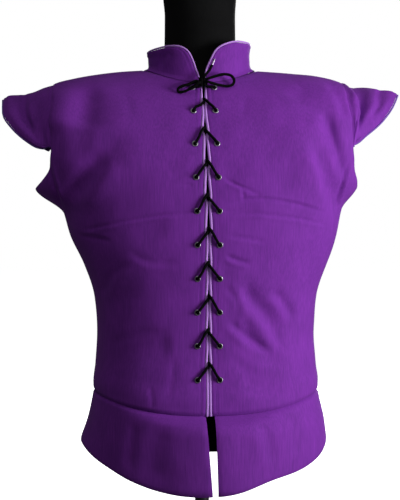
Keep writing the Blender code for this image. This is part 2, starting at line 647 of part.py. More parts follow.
def wing_panel(front, back, side):
    """A shoulder wing: from the armhole's edge it stands out over the shoulder and droops to its free edge."""
    root, facing, front_count = wing_root(front, back, side)
    lengths = np.concatenate([[0.0], np.cumsum(np.linalg.norm(np.diff(root, axis=0), axis=1))])
    tip = lengths[front_count - 1]
    in_front = np.arange(len(root)) < front_count
    share = np.where(in_front, lengths / tip, (lengths[-1] - lengths) / (lengths[-1] - tip))
    names = ("left_x", "left_z") if side > 0 else ("right_x", "right_z")
    known = column(WING_EDGE, "share")
    x, z, forward = (smooth_value(share, known, column(WING_EDGE, name)) for name in (*names, "forward"))
    z = z + np.where(in_front, 0.0, WING_BACK_RISE * np.sin(math.pi * share))
    edge = np.stack([side * x, np.where(in_front, -forward, forward), z], axis=-1)
    if side < 0:
        root, facing, edge, share = root[::-1], facing[::-1], edge[::-1], share[::-1]
    away = away_from_edge(root, facing)
    root = root + away * SEAM_GAP
    full = smooth_step(0.0, WING_END_SHARE, share)[:, None]
    edge = edge * full + (root + away * WING_END_WIDTH) * (1.0 - full)
    across = column(WING_SWELLS, "across")[None, :, None]
    reach = np.linalg.norm(edge - root, axis=-1)[:, None, None] / WING_REACH
    swells = column(WING_SWELLS, "left" if side > 0 else "right")
    swell = smooth_value(across, column(WING_SWELLS, "across"), swells)
    outer = root[:, None, :] + (edge - root)[:, None, :] * across + swell * reach * facing[:, None, :]
    outward = unit(np.cross(np.gradient(outer, axis=1), np.gradient(outer, axis=0)))
    outward[:, 0] = facing
    outward[0], outward[-1] = facing[0], facing[-1]
    return Panel(outer, outer - outward * WING_CLOTH)


def tube(name, points, radius, collection, made_of, roundness=2):
    curve = bpy.data.curves.new(name, "CURVE")
    curve.dimensions = "3D"
    curve.bevel_depth = radius
    curve.bevel_resolution = roundness
    curve.use_fill_caps = True
    spline = curve.splines.new("POLY")
    spline.points.add(len(points) - 1)
    for point, place in zip(spline.points, points):
        point.co = (*place, 1.0)
    curve.materials.append(made_of)
    made = bpy.data.objects.new(name, curve)
    collection.objects.link(made)
    return made


def smooth_strand(points, per_span=2):
    """More points on the smooth curve through a strand's own points."""
    points = np.array(points, float)
    before = np.vstack([2 * points[0] - points[1], points[:-2]])
    after = np.vstack([points[2:], 2 * points[-1] - points[-2]])
    start, end = points[:-1], points[1:]
    found = []
    for u in np.arange(per_span) / per_span:
        straight = 2 * start + (end - before) * u
        bend = (2 * before - 5 * start + 4 * end - after) * u**2
        twist = (3 * start - before - 3 * end + after) * u**3
        found.append(0.5 * (straight + bend + twist))
    return np.vstack([np.stack(found, axis=1).reshape(-1, 3), points[-1:]])


def on_front(panels, side, x, z, out):
    """A point off the cloth beside the slit, and the way that the cloth faces there."""
    panel = panels[side]
    near, far = (0, 1) if side > 0 else (-1, -2)
    row = int(np.clip(np.searchsorted(panel.outer[:, near, 2], z) - 1, 0, len(panel.outer) - 2))
    quad = panel.outer[row : row + 2, [near, far]]
    across, up = 0.0, 0.0
    for _ in range(6):
        low = quad[0, 0] * (1 - across) + quad[0, 1] * across
        high = quad[1, 0] * (1 - across) + quad[1, 1] * across
        up = (z - low[2]) / (high[2] - low[2])
        nearer = quad[0, 0] * (1 - up) + quad[1, 0] * up
        farther = quad[0, 1] * (1 - up) + quad[1, 1] * up
        across = (x - nearer[0]) / (farther[0] - nearer[0])
    weights = np.outer([1 - up, up], [1 - across, across])[..., None]
    outer = (quad * weights).sum(axis=(0, 1))
    inner = (panel.inner[row : row + 2, [near, far]] * weights).sum(axis=(0, 1))
    facing = unit(outer - inner)
    return outer + facing * out, facing


def knot_ends(direction):
    """Two points that lead a strand straight off the knot, the first just clear of its surface."""
    way = unit(np.array(direction, float))
    surface = 1.0 / np.linalg.norm(way / np.array(KNOT_RADII))
    centre = np.array(KNOT_CENTRE)
    return [centre + way * (surface + SEAM_GAP), centre + way * (surface + KNOT_STRAND)]


def lace_route(panels, first_side, lift):
    """Half of the lace: up through eyelets on alternate sides, and in through the slit at each crossing."""
    heights, crossings = eyelet_heights(), crossing_heights()
    start_x = front_centre_x(heights[0]) + first_side * 0.5 * SEAM_GAP
    route = [on_front(panels, first_side, start_x, heights[0], LACE_BEHIND)[0]]
    side = first_side
    for i, height in enumerate(heights):
        x = front_centre_x(height) + side * EYELET_SIDE
        route.append(on_front(panels, side, x, height, LACE_BEHIND)[0])
        route.append(on_front(panels, side, x, height, LACE_OVER_EYELET)[0])
        if i == len(crossings):
            break
        for station in STITCH:
            x = front_centre_x(crossings[i]) + side * station.side_x
            z = crossings[i] + lift + station.above
            station_side = side if station.side_x > 0 else -side
            route.append(on_front(panels, station_side, x, z, station.out)[0])
        side = -side
    route += knot_ends(LACE_TO_KNOT[side])[::-1]
    return np.array(route)


def add_eyelet(name, place, facing, collection, made_of):
    """A turned eyelet: a barrel through the cloth, with a flange on its face."""
    top = SEAM_GAP + EYELET_LIP
    back = -(BODY_CLOTH + SEAM_GAP)
    profile = (
        (EYELET_HOLE, top),
        (EYELET_FLANGE, top),
        (EYELET_FLANGE, SEAM_GAP),
        (EYELET_BARREL, SEAM_GAP),
        (EYELET_BARREL, back),
        (EYELET_HOLE, back),
    )
    mesh = bpy.data.meshes.new(name)
    edges = [(i, (i + 1) % len(profile)) for i in range(len(profile))]
    mesh.from_pydata([(x, 0.0, z) for x, z in profile], edges, [])
    mesh.materials.append(made_of)
    made = bpy.data.objects.new(name, mesh)
    screw = made.modifiers.new("turned", "SCREW")
    screw.steps = EYELET_SIDES
    screw.render_steps = EYELET_SIDES
    screw.use_merge_vertices = True
    screw.merge_threshold = 1e-5
    screw.use_smooth_shade = False
    made.location = place
    made.rotation_euler = Vector(facing).to_track_quat("Z", "Y").to_euler()
    collection.objects.link(made)
    return made


def hole_cutter(name, stations, collection):
    """One cutter for all the eyelet holes of a panel."""
    mesh = bpy.data.meshes.new(name)
    shape = bmesh.new()
    for place, facing in stations:
        turn = Vector(facing).to_track_quat("Z", "Y").to_matrix().to_4x4()
        turn.translation = place
        bmesh.ops.create_cone(
            shape,
            cap_ends=True,
            segments=EYELET_SIDES,
            radius1=EYELET_BARREL + SEAM_GAP,
            radius2=EYELET_BARREL + SEAM_GAP,
            depth=EYELET_CUTTER_DEPTH,
            matrix=turn,
        )
    shape.to_mesh(mesh)
    shape.free()
    made = bpy.data.objects.new(name, mesh)
    made.hide_render = True
    made.display_type = "WIRE"
    collection.objects.link(made)
    return made


def add_lacing(panels, walls, parts, cutters, lace, steel):
    for side, name in ((1, "left"), (-1, "right")):
        stations = []
        for i, height in enumerate(eyelet_heights()):
            x = front_centre_x(height) + side * EYELET_SIDE
            place, facing = on_front(panels, side, x, height, 0.0)
            stations.append((place, facing))
            add_eyelet(f"eyelet_{name}_{i + 1}", place, facing, parts, steel)
        cut = walls[side].modifiers.new("eyelet holes", "BOOLEAN")
        cut.object = hole_cutter(f"eyelet_holes_{name}", stations, cutters)
        cut.operation = "DIFFERENCE"
        cut.solver = "EXACT"
    tube("lace_a", lace_route(panels, 1, CROSSING_APART), LACE_RADIUS, parts, lace)
    tube("lace_b", lace_route(panels, -1, -CROSSING_APART), LACE_RADIUS, parts, lace)


def take_in(made, name, parts, made_of):
    """Move a new primitive into the parts' collection."""
    made.name = name
    made.data.name = name
    made.data.materials.append(made_of)
    for collection in list(made.users_collection):
        collection.objects.unlink(made)
    parts.objects.link(made)
    return made


def add_bow(parts, lace, aglet):
    bpy.ops.mesh.primitive_uv_sphere_add(segments=16, ring_count=10, radius=1.0)
    knot = take_in(bpy.context.object, "lace_knot", parts, lace)
    for vertex in knot.data.vertices:
        vertex.co = [place * radius for place, radius in zip(vertex.co, KNOT_RADII)]
    knot.location = KNOT_CENTRE
    knot.data.shade_smooth()
    loops = (("bow_loop_left", LEFT_LOOP, LEFT_LOOP_KNOT), ("bow_loop_right", RIGHT_LOOP, RIGHT_LOOP_KNOT))
    for name, strand, ways in loops:
        points = [*knot_ends(ways[0]), *strand, *knot_ends(ways[1])[::-1]]
        tube(name, points, LACE_RADIUS, parts, lace)
    ends = (
        ("lace_end_upper", "aglet_upper", UPPER_END_KNOT, UPPER_END, UPPER_AGLET_TIP),
        ("lace_end_lower", "aglet_lower", LOWER_END_KNOT, LOWER_END, LOWER_AGLET_TIP),
    )
    for name, aglet_name, way, strand, tip in ends:
        tube(name, smooth_strand([*knot_ends(way), *strand]), LACE_RADIUS, parts, lace)
        run = unit(np.array(tip) - np.array(strand[-1]))
        tube(aglet_name, [np.array(strand[-1]) + run * SEAM_GAP, np.array(tip)], AGLET_RADIUS, parts, aglet)


def add_piping(panels, collar, wings, parts, lilac):
    """Corded piping along the slit, round the collar and along the wings' free edges."""
    rows = range(len(panels[1].outer) - 1)
    routes = {
        "piping_front_left": piping_route(panels[1], [(i, 0) for i in rows][::-1]),
        "piping_front_right": piping_route(panels[-1], [(i, -1) for i in rows]),
    }
    rows, columns = collar.outer.shape[:2]
    steps = [(i, columns - 1) for i in range(1, rows)]
    steps += [(rows - 1, j) for j in range(columns - 2, 0, -1)]
    steps += [(i, 0) for i in range(rows - 1, 0, -1)]
    routes["piping_collar"] = piping_route(collar, steps)
    for side, name in ((1, "left"), (-1, "right")):
        steps = [(i, -1) for i in range(len(wings[side].outer))]
        routes[f"piping_wing_{name}"] = piping_route(wings[side], steps, WING_PIPING_GAP)
    for name, route in routes.items():
        tube(name, route, PIPING_RADIUS, parts, lilac, roundness=1)


def form_rings():
    """The form's rings: its trunk, its shoulders close under the cloth that they carry, and its neck."""
    front = np.radians(90) * np.array(FRONT_COLUMNS)
    back = np.linspace(math.pi / 2, 3 * math.pi / 2, BACK_COLUMNS + 1)[1:]
    angles = signed(np.concatenate([front, back, 2 * math.pi - front[-2:0:-1]]))
    rings = [ring_point(TRUNK_RINGS, ring.share, angles) for ring in TRUNK_RINGS]
    ahead = smooth_step(0.5, 0.9, np.cos(angles))
    inset = BODY_CLOTH + FORM_REST_GAP + FORM_LACE_ROOM * ahead
    for share in SHOULDER_SHARES:
        row = np.full(len(angles), share)
        rings.append(body_surface(row, angles) - normals(body_surface, row, angles) * inset[:, None])
    rings += [ring_point(NECK_RINGS, ring.share, angles) for ring in NECK_RINGS]
    return np.array(rings)


def add_form(parts, black):
    """The limbless dress form, with its pole and its round base."""
    rings = form_rings()
    rows, columns = rings.shape[:2]
    index = np.arange(rows * columns).reshape(rows, columns)
    onward = np.roll(index, -1, axis=1)
    sides = np.stack([index[:-1], onward[:-1], onward[1:], index[1:]], axis=-1).reshape(-1, 4)
    mesh_object("form_torso", rings.reshape(-1, 3), [*sides, index[0, ::-1], index[-1]], parts, black)
    pole_foot = BASE_THICK + SEAM_GAP
    pole_top = TRUNK_RINGS[0].front_z - SEAM_GAP
    bpy.ops.mesh.primitive_cylinder_add(
        vertices=24,
        radius=POLE_RADIUS,
        depth=pole_top - pole_foot,
        location=(0, 0, (pole_foot + pole_top) / 2),
    )
    take_in(bpy.context.object, "form_pole", parts, black)
    bpy.ops.mesh.primitive_cylinder_add(
        vertices=48,
        radius=BASE_RADIUS,
        depth=BASE_THICK,
        location=(0, 0, BASE_THICK / 2),
    )
    base = take_in(bpy.context.object, "form_base", parts, black)
    bevel = base.modifiers.new("rounded rim", "BEVEL")
    bevel.width = BASE_BEVEL
    bevel.segments = 1
    bevel.limit_method = "ANGLE"


def main():
    for obj in list(bpy.data.objects):
        bpy.data.objects.remove(obj, do_unlink=True)
    parts = bpy.data.collections.new("gambeson")
    cutters = bpy.data.collections.new("cutters")
    bpy.context.scene.collection.children.link(parts)
    bpy.context.scene.collection.children.link(cutters)

    cloth = material("purple cloth", PURPLE, 0.85)
    lilac = material("lilac piping", LILAC, 0.6)
    lace = material("black lace", BLACK, 0.8)
    steel = material("nickel eyelets", STEEL, 0.25, 1.0)
    aglet = material("pale aglets", PALE_PINK, 0.2)
    black = material("form cover", BLACK, 0.7)

    fronts = {side: front_panel(side) for side in (1, -1)}
    back = back_panel()
    walls = {
        1: wall("front_left", fronts[1], parts, cloth),
        -1: wall("front_right", fronts[-1], parts, cloth),
    }
    wall("back", back, parts, cloth)
    for edge in SKIRT_SLIT:
        wall("skirt_left" if edge.side > 0 else "skirt_right", skirt_front(edge), parts, cloth)
    wall("skirt_back", skirt_back(), parts, cloth)
    collar = collar_panel()
    wall("collar", collar, parts, cloth)
    wings = {side: wing_panel(fronts[side], back, side) for side in (1, -1)}
    wall("wing_left", wings[1], parts, cloth)
    wall("wing_right", wings[-1], parts, cloth)

    add_piping(fronts, collar, wings, parts, lilac)
    add_lacing(fronts, walls, parts, cutters, lace, steel)
    add_bow(parts, lace, aglet)
    add_form(parts, black)


main()
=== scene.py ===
"""The looks of a laced gambeson on its dress form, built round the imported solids.

Lengths are in metres. The wearer's left is at +X, the laced front faces -Y and +Z is up. Each cloth piece is
a fine grid over the same family of rings as its solid, with the smaller creases pressed into it.
"""

import math
from collections import namedtuple

import bmesh
import bpy
import numpy as np
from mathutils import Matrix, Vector


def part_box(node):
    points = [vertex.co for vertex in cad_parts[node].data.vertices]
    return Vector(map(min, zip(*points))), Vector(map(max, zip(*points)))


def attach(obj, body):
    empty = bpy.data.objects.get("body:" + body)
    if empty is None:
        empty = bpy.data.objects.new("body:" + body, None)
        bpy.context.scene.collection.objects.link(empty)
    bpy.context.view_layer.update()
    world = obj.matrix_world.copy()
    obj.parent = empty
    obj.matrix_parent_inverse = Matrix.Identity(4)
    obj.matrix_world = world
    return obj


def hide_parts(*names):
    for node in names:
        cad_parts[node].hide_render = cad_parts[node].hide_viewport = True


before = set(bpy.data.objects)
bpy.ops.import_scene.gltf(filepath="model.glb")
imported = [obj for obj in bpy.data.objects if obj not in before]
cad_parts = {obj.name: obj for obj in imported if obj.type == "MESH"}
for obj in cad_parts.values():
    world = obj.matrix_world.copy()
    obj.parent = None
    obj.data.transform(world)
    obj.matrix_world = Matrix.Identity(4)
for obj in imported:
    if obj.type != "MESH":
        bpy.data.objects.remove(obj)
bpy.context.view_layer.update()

# Cloth and seams
BODY_CLOTH = 0.004
SKIRT_CLOTH = 0.004
COLLAR_CLOTH = 0.0035
WING_CLOTH = 0.003
SEAM_GAP = 0.0003
PIPING_RADIUS = 0.0015
SHARP_ANGLE = math.radians(50)

# Lacing: a cord through ten pairs of eyelets, which crosses in the slit between each pair and the next
LACE_RADIUS = 0.0023
LACE_CLEAR = 0.0006
EYELET_SIDE = 0.0178
EYELET_FIRST_Z = 0.300
EYELET_PITCH = 0.054
EYELET_PITCHES = 8
EYELET_TOP_Z = 0.771
EYELET_BARREL = 0.0037
EYELET_LIP = 0.0008
EYELET_CUTTER_DEPTH = 0.016
CROSSING_RISE = 0.025
TOP_CROSSING_RISE = 0.018
CROSSING_APART = 0.0026
SLIT_OPEN = 0.0029
SLIT_CLOSED = 0.0004

# The dress form and its stand
FORM_REST_GAP = 0.0006
FORM_LACE_ROOM = 0.007
POLE_RADIUS = 0.012
BASE_RADIUS = 0.170
BASE_BEVEL = 0.003

RING_FIELDS = "share front_z side_z back_z half_width front back square centre_x front_x"
Ring = namedtuple("Ring", RING_FIELDS)

# From the waist seam, share 0, to the neckline, share 1
BODY_RINGS = (
    Ring(0.000, 0.243, 0.272, 0.270, 0.1900, 0.143, 0.128, 2.35, 0.0060, 0.003),
    Ring(0.030, 0.259, 0.286, 0.284, 0.1900, 0.143, 0.127, 2.35, 0.0060, 0.003),
    Ring(0.100, 0.297, 0.316, 0.314, 0.1865, 0.138, 0.118, 2.35, 0.0058, 0.003),
    Ring(0.220, 0.362, 0.372, 0.370, 0.1830, 0.133, 0.110, 2.35, 0.0055, 0.003),
    Ring(0.340, 0.427, 0.430, 0.428, 0.1880, 0.134, 0.111, 2.35, 0.0060, 0.003),
    Ring(0.440, 0.481, 0.481, 0.480, 0.2040, 0.138, 0.117, 2.40, 0.0055, 0.003),
    Ring(0.540, 0.535, 0.532, 0.532, 0.2250, 0.141, 0.124, 2.45, 0.0025, 0.0025),
    Ring(0.620, 0.578, 0.574, 0.574, 0.2350, 0.141, 0.129, 2.50, 0.0005, 0.002),
    Ring(0.680, 0.610, 0.607, 0.607, 0.2500, 0.139, 0.132, 2.60, 0.000, 0.001),
    Ring(0.760, 0.650, 0.665, 0.660, 0.2730, 0.134, 0.133, 2.70, -0.003, 0.000),
    Ring(0.840, 0.690, 0.730, 0.722, 0.2780, 0.124, 0.130, 2.70, -0.0045, -0.001),
    Ring(0.890, 0.716, 0.770, 0.760, 0.2620, 0.114, 0.123, 2.60, -0.006, -0.002),
    Ring(0.915, 0.730, 0.787, 0.777, 0.2400, 0.108, 0.118, 2.50, -0.0075, -0.002),
    Ring(0.940, 0.744, 0.796, 0.789, 0.2080, 0.101, 0.109, 2.40, -0.007, -0.0025),
    Ring(0.960, 0.756, 0.8015, 0.798, 0.1700, 0.094, 0.098, 2.30, -0.006, -0.0025),
    Ring(0.980, 0.769, 0.8055, 0.806, 0.1310, 0.086, 0.086, 2.20, -0.005, -0.0025),
    Ring(1.000, 0.784, 0.8080, 0.813, 0.0900, 0.078, 0.072, 2.10, -0.0045, -0.003),
)

# From the hem, share 0, to the waist seam, share 1
SKIRT_RINGS = (
    Ring(0.00, 0.1150, 0.1870, 0.1780, 0.2090, 0.1440, 0.1390, 2.20, 0.0025, 0.011),
    Ring(0.50, 0.1800, 0.2300, 0.2240, 0.1985, 0.1470, 0.1340, 2.30, 0.0065, 0.008),
    Ring(0.88, 0.2280, 0.2620, 0.2590, 0.1915, 0.1460, 0.1300, 2.35, 0.0062, 0.005),
    Ring(1.00, 0.2427, 0.2717, 0.2697, 0.1900, 0.1430, 0.1280, 2.35, 0.0060, 0.003),
)
# The slit's two edges on the skirt, at the hem and at the waist seam
SlitEdge = namedtuple("SlitEdge", "side hem_x waist_x")
SKIRT_SLIT = (SlitEdge(1, 0.0170, 0.0124), SlitEdge(-1, 0.0085, -0.0020))
# Where the hem is higher or lower than its ring
HemWave = namedtuple("HemWave", "angle spread rise")
HEM_WAVES = (
    HemWave(23, 16, 0.012),
    HemWave(62, 14, -0.004),
    HemWave(-34, 20, -0.004),
    HemWave(-62, 14, -0.004),
)

# From the neckline, share 0, to the collar's top edge, share 1
COLLAR_RINGS = (
    Ring(0.00, 0.7850, 0.8090, 0.8140, 0.0880, 0.0770, 0.0710, 2.1, -0.0045, -0.003),
    Ring(0.25, 0.7990, 0.8170, 0.8230, 0.0855, 0.0790, 0.0715, 2.1, -0.0050, -0.003),
    Ring(0.60, 0.8190, 0.8290, 0.8350, 0.0855, 0.0830, 0.0735, 2.1, -0.0055, -0.003),
    Ring(1.00, 0.8440, 0.8420, 0.8500, 0.0880, 0.0890, 0.0780, 2.1, -0.0055, -0.003),
)
COLLAR_TILT = 0.007
# From the collar's centre to the middle of its piping, on the wearer's left and right
Opening = namedtuple("Opening", "share left right")
COLLAR_OPENING = (
    Opening(0.00, 0.0035, 0.0050),
    Opening(0.20, 0.0048, 0.0095),
    Opening(0.35, 0.0070, 0.0128),
    Opening(0.50, 0.0112, 0.0156),
    Opening(0.65, 0.0158, 0.0195),
    Opening(0.78, 0.0210, 0.0240),
    Opening(0.88, 0.0300, 0.0310),
    Opening(0.96, 0.0440, 0.0420),
    Opening(1.00, 0.0570, 0.0550),
)

# The form's trunk from its underside to below the shoulders, and its neck
TRUNK_RINGS = (
    Ring(0.00, 0.180, 0.180, 0.180, 0.158, 0.106, 0.099, 2.3, 0.000, 0.000),
    Ring(0.02, 0.187, 0.187, 0.187, 0.164, 0.112, 0.105, 2.3, 0.000, 0.000),
    Ring(0.14, 0.250, 0.250, 0.250, 0.162, 0.111, 0.103, 2.3, 0.000, 0.000),
    Ring(0.32, 0.340, 0.340, 0.340, 0.150, 0.106, 0.091, 2.3, 0.000, 0.000),
    Ring(0.44, 0.400, 0.400, 0.400, 0.146, 0.104, 0.087, 2.3, 0.000, 0.000),
    Ring(0.60, 0.480, 0.480, 0.480, 0.158, 0.109, 0.093, 2.3, 0.000, 0.000),
    Ring(0.76, 0.560, 0.560, 0.560, 0.176, 0.115, 0.103, 2.3, 0.000, 0.000),
    Ring(0.90, 0.640, 0.640, 0.640, 0.190, 0.115, 0.110, 2.4, 0.000, 0.000),
    Ring(0.96, 0.680, 0.690, 0.686, 0.195, 0.108, 0.110, 2.4, -0.001, -0.001),
    Ring(0.98, 0.704, 0.734, 0.726, 0.195, 0.101, 0.108, 2.4, -0.003, -0.002),
    Ring(0.99, 0.722, 0.764, 0.753, 0.186, 0.095, 0.104, 2.4, -0.004, -0.003),
    Ring(1.00, 0.735, 0.784, 0.774, 0.172, 0.090, 0.098, 2.3, -0.005, -0.003),
)
NECK_RINGS = (
    Ring(0.00, 0.780, 0.8036, 0.8085, 0.0840, 0.0660, 0.0665, 2.1, -0.0045, -0.004),
    Ring(0.05, 0.791, 0.8110, 0.8160, 0.0720, 0.0630, 0.0625, 2.0, -0.0045, -0.004),
    Ring(0.14, 0.808, 0.8240, 0.8280, 0.0650, 0.0610, 0.0600, 2.0, -0.0040, -0.004),
    Ring(0.35, 0.845, 0.8500, 0.8500, 0.0600, 0.0585, 0.0580, 2.0, -0.0035, -0.0035),
    Ring(0.70, 0.900, 0.9000, 0.9000, 0.0595, 0.0580, 0.0580, 2.0, -0.0035, -0.0035),
    Ring(0.98, 0.938, 0.9380, 0.9380, 0.0620, 0.0595, 0.0595, 2.0, -0.0040, -0.004),
    Ring(1.00, 0.942, 0.9420, 0.9420, 0.0590, 0.0565, 0.0565, 2.0, -0.0040, -0.004),
)
# The body's rows whose undersides the form's shoulders carry
SHOULDER_SHARES = (0.965, 0.980, 0.992)

# Where the wings start on the armhole's edge, and the shoulder's tip, as shares up the body
WING_START_SHARE = 0.780
TIP_SHARE = 0.915

# The armhole's edge: the angle at which the front and the back panel end
Armhole = namedtuple("Armhole", "share front_angle back_angle")
ARMHOLE = (
    Armhole(0.680, 90.0, 90.0),
    Armhole(0.690, 81.0, 81.5),
    Armhole(0.705, 74.5, 75.5),
    Armhole(0.730, 67.5, 69.5),
    Armhole(0.780, 61.0, 65.0),
    Armhole(0.845, 59.0, 63.5),
    Armhole(0.880, 62.5, 66.5),
    Armhole(0.903, 72.0, 74.0),
    Armhole(0.915, 90.0, 90.0),
)

# The cloth below each armhole, which stands out with no arm in it
Underarm = namedtuple("Underarm", "side size low peak high")
UNDERARMS = (Underarm(1, 0.011, 0.620, 0.697, 0.745), Underarm(-1, 0.030, 0.605, 0.680, 0.745))
UNDERARM_SPREAD = 25.0
# The wearer's left shoulder sits higher: the slope across, and the shares over which it comes and goes
SHOULDER_SLOPE = 0.012
SLOPE_SPAN = (0.70, 0.88, 0.93, 0.99)

# Each shoulder wing's free edge, by share of the way from its front end to the shoulder's tip
WingEdge = namedtuple("WingEdge", "share left_x left_z right_x right_z forward")
WING_EDGE = (
    WingEdge(0.00, 0.2480, 0.6790, 0.2580, 0.6715, 0.0690),
    WingEdge(0.15, 0.2580, 0.6860, 0.2740, 0.6755, 0.0650),
    WingEdge(0.30, 0.2690, 0.6960, 0.2890, 0.6845, 0.0600),
    WingEdge(0.60, 0.2965, 0.7195, 0.3170, 0.7100, 0.0450),
    WingEdge(0.80, 0.3190, 0.7465, 0.3320, 0.7345, 0.0270),
    WingEdge(1.00, 0.3335, 0.7715, 0.3340, 0.7595, 0.0000),
)
# How far the wing's cloth stands off the straight line from its seam to its free edge
WingSwell = namedtuple("WingSwell", "across left right")
WING_SWELLS = (
    WingSwell(0.00, 0.0000, 0.0000),
    WingSwell(0.20, 0.0028, -0.0004),
    WingSwell(0.45, 0.0010, -0.0028),
    WingSwell(0.70, 0.0016, -0.0004),
    WingSwell(0.88, 0.0026, 0.0028),
    WingSwell(1.00, 0.0000, 0.0000),
)
WING_REACH = 0.090
WING_BACK_RISE = 0.012
WING_END_WIDTH = 0.0022
WING_END_SHARE = 0.05
WING_PIPING_GAP = 0.0006

# Soft troughs, and ridges where the depth is negative, that run from (x0, z0) to (x1, z1)
Fold = namedtuple("Fold", "x0 z0 x1 z1 width depth")
FRONT_FOLDS = (
    Fold(0.185, 0.730, 0.222, 0.575, 0.016, 0.0060),
    Fold(0.150, 0.775, 0.215, 0.700, 0.018, 0.0035),
    Fold(0.150, 0.690, 0.180, 0.560, 0.022, -0.0030),
    Fold(0.045, 0.395, 0.120, 0.320, 0.018, 0.0040),
    Fold(0.055, 0.450, 0.160, 0.360, 0.020, 0.0030),
    Fold(0.050, 0.300, 0.150, 0.265, 0.018, 0.0025),
    Fold(-0.190, 0.770, -0.205, 0.640, 0.020, 0.0040),
    Fold(-0.150, 0.680, -0.222, 0.580, 0.022, 0.0050),
    Fold(-0.060, 0.545, -0.200, 0.520, 0.018, 0.0025),
    Fold(-0.060, 0.360, -0.150, 0.330, 0.022, 0.0030),
)
BACK_FOLDS = (
    Fold(0.160, 0.740, 0.205, 0.600, 0.020, 0.0045),
    Fold(-0.150, 0.740, -0.210, 0.590, 0.022, 0.0045),
    Fold(0.100, 0.420, -0.030, 0.380, 0.020, 0.0035),
    Fold(-0.120, 0.360, 0.020, 0.335, 0.022, 0.0030),
    Fold(0.020, 0.560, 0.150, 0.500, 0.020, 0.0025),
)
# Over these spans of x, of the share up the body and of the cosine of the angle, folds fade in or out
FOLD_FREE_OF_LACING = (0.050, 0.070)
FOLD_FREE_OF_WAIST = (0.0, 0.05)
FOLD_FREE_OF_SHOULDER = (0.93, 0.965)
FOLD_FREE_OF_SIDE = (0.0, 0.25)

# The bow: x, y and z along each strand, and the ways in which the strands leave the knot
KNOT_CENTRE = (-0.0037, -0.0905, 0.7800)
KNOT_RADII = (0.0078, 0.0060, 0.0070)
KNOT_STRAND = 0.0040
LACE_TO_KNOT = {1: (0.75, 0.10, -0.75), -1: (-0.75, 0.05, -0.80)}
LEFT_LOOP_KNOT = ((0.85, -0.25, 0.55), (0.85, -0.75, 0.0))
LEFT_LOOP = (
    (0.0178, -0.0895, 0.7902),
    (0.0265, -0.0880, 0.7928),
    (0.0344, -0.0865, 0.7935),
    (0.0427, -0.0850, 0.7915),
    (0.0475, -0.0840, 0.7852),
    (0.0462, -0.0840, 0.7785),
    (0.0387, -0.0860, 0.7742),
    (0.0259, -0.0895, 0.7752),
    (0.0150, -0.0935, 0.7772),
)
RIGHT_LOOP_KNOT = ((-1.0, -0.15, 0.15), (-0.80, -0.80, -0.20))
RIGHT_LOOP = (
    (-0.0215, -0.0935, 0.7790),
    (-0.0290, -0.0950, 0.7755),
    (-0.0380, -0.0945, 0.7730),
    (-0.0440, -0.0930, 0.7690),
    (-0.0435, -0.0920, 0.7645),
    (-0.0370, -0.0935, 0.7635),
    (-0.0280, -0.0955, 0.7670),
    (-0.0190, -0.0975, 0.7720),
)
UPPER_END_KNOT = (0.25, -0.30, 0.95)
UPPER_END = (
    (0.0035, -0.0890, 0.7955),
    (0.0070, -0.0870, 0.8000),
    (0.0113, -0.0865, 0.8085),
)
UPPER_AGLET_TIP = (0.0157, -0.0875, 0.8185)
LOWER_END_KNOT = (-0.70, 0.55, 0.10)
LOWER_END = (
    (-0.0180, -0.0865, 0.7795),
    (-0.0245, -0.0868, 0.7775),
    (-0.0305, -0.0870, 0.7750),
)
LOWER_AGLET_TIP = (-0.0405, -0.0885, 0.7707)
AGLET_RADIUS = 0.0020

NORMAL_STEP = 1e-4

Panel = namedtuple("Panel", "outer inner")
# Half the slit by height above a crossing: closed just below it and open across it
SlitStep = namedtuple("SlitStep", "above half")
SLIT_STEPS = (SlitStep(-0.011, SLIT_CLOSED), SlitStep(-0.006, SLIT_OPEN), SlitStep(0.006, SLIT_OPEN))
SLIT_AT_WAIST = 0.0022
SLIT_AT_NECKLINE = 0.0018
# The lace's stations in a stitch: x out from the slit, height above the crossing and height off the cloth
Station = namedtuple("Station", "side_x above out")
LACE_BEHIND = -(BODY_CLOTH + LACE_RADIUS + LACE_CLEAR)
LACE_OVER_EYELET = EYELET_LIP + SEAM_GAP + LACE_RADIUS + LACE_CLEAR
STITCH = (
    Station(0.0065, -0.0080, 0.0034),
    Station(0.0008, -0.0005, 0.0014),
    Station(-0.0008, 0.0005, -0.0053),
    Station(-0.0052, 0.0040, LACE_BEHIND),
)
# The same from an eyelet's middle: up through it, then over its rim towards the slit
THROUGH_EYELET = (
    Station(0.0006, -0.0004, LACE_BEHIND),
    Station(0.0006, -0.0004, -0.5 * BODY_CLOTH),
    Station(0.0003, -0.0002, LACE_OVER_EYELET + 0.0006),
)
OFF_EYELET = Station(-0.0045, 0.0055, LACE_OVER_EYELET + 0.0004)
LACE_STEP = 0.0011
LACE_ACROSS = (1.0, 0.0, 0.12)
CORD_GIRTH = 0.0144
# The knot's rings of cord: off to the side, half depth, half height, lean and the cord's radius
KnotWrap = namedtuple("KnotWrap", "off depth height lean radius")
KNOT_WRAPS = (
    KnotWrap(-0.0024, 0.0043, 0.0048, 0.10, 0.0022),
    KnotWrap(0.0022, 0.0040, 0.0049, -0.12, 0.0022),
    KnotWrap(-0.0050, 0.0026, 0.0030, 0.25, 0.0019),
    KnotWrap(0.0052, 0.0026, 0.0030, -0.22, 0.0019),
)
KNOT_TURNS = 40
KNOT_SIDES = 12
KNOT_WRAP_LENGTH = 0.03
# The bow's cords, and how far and how thin they run inside their tips
BOW_SPANS = 6
BOW_STEP = 0.0012
BOW_FACING = (0.0, 1.0, 0.05)
INSIDE_TIP = (0.4, 0.85)
THIN_IN_TIP = 0.72
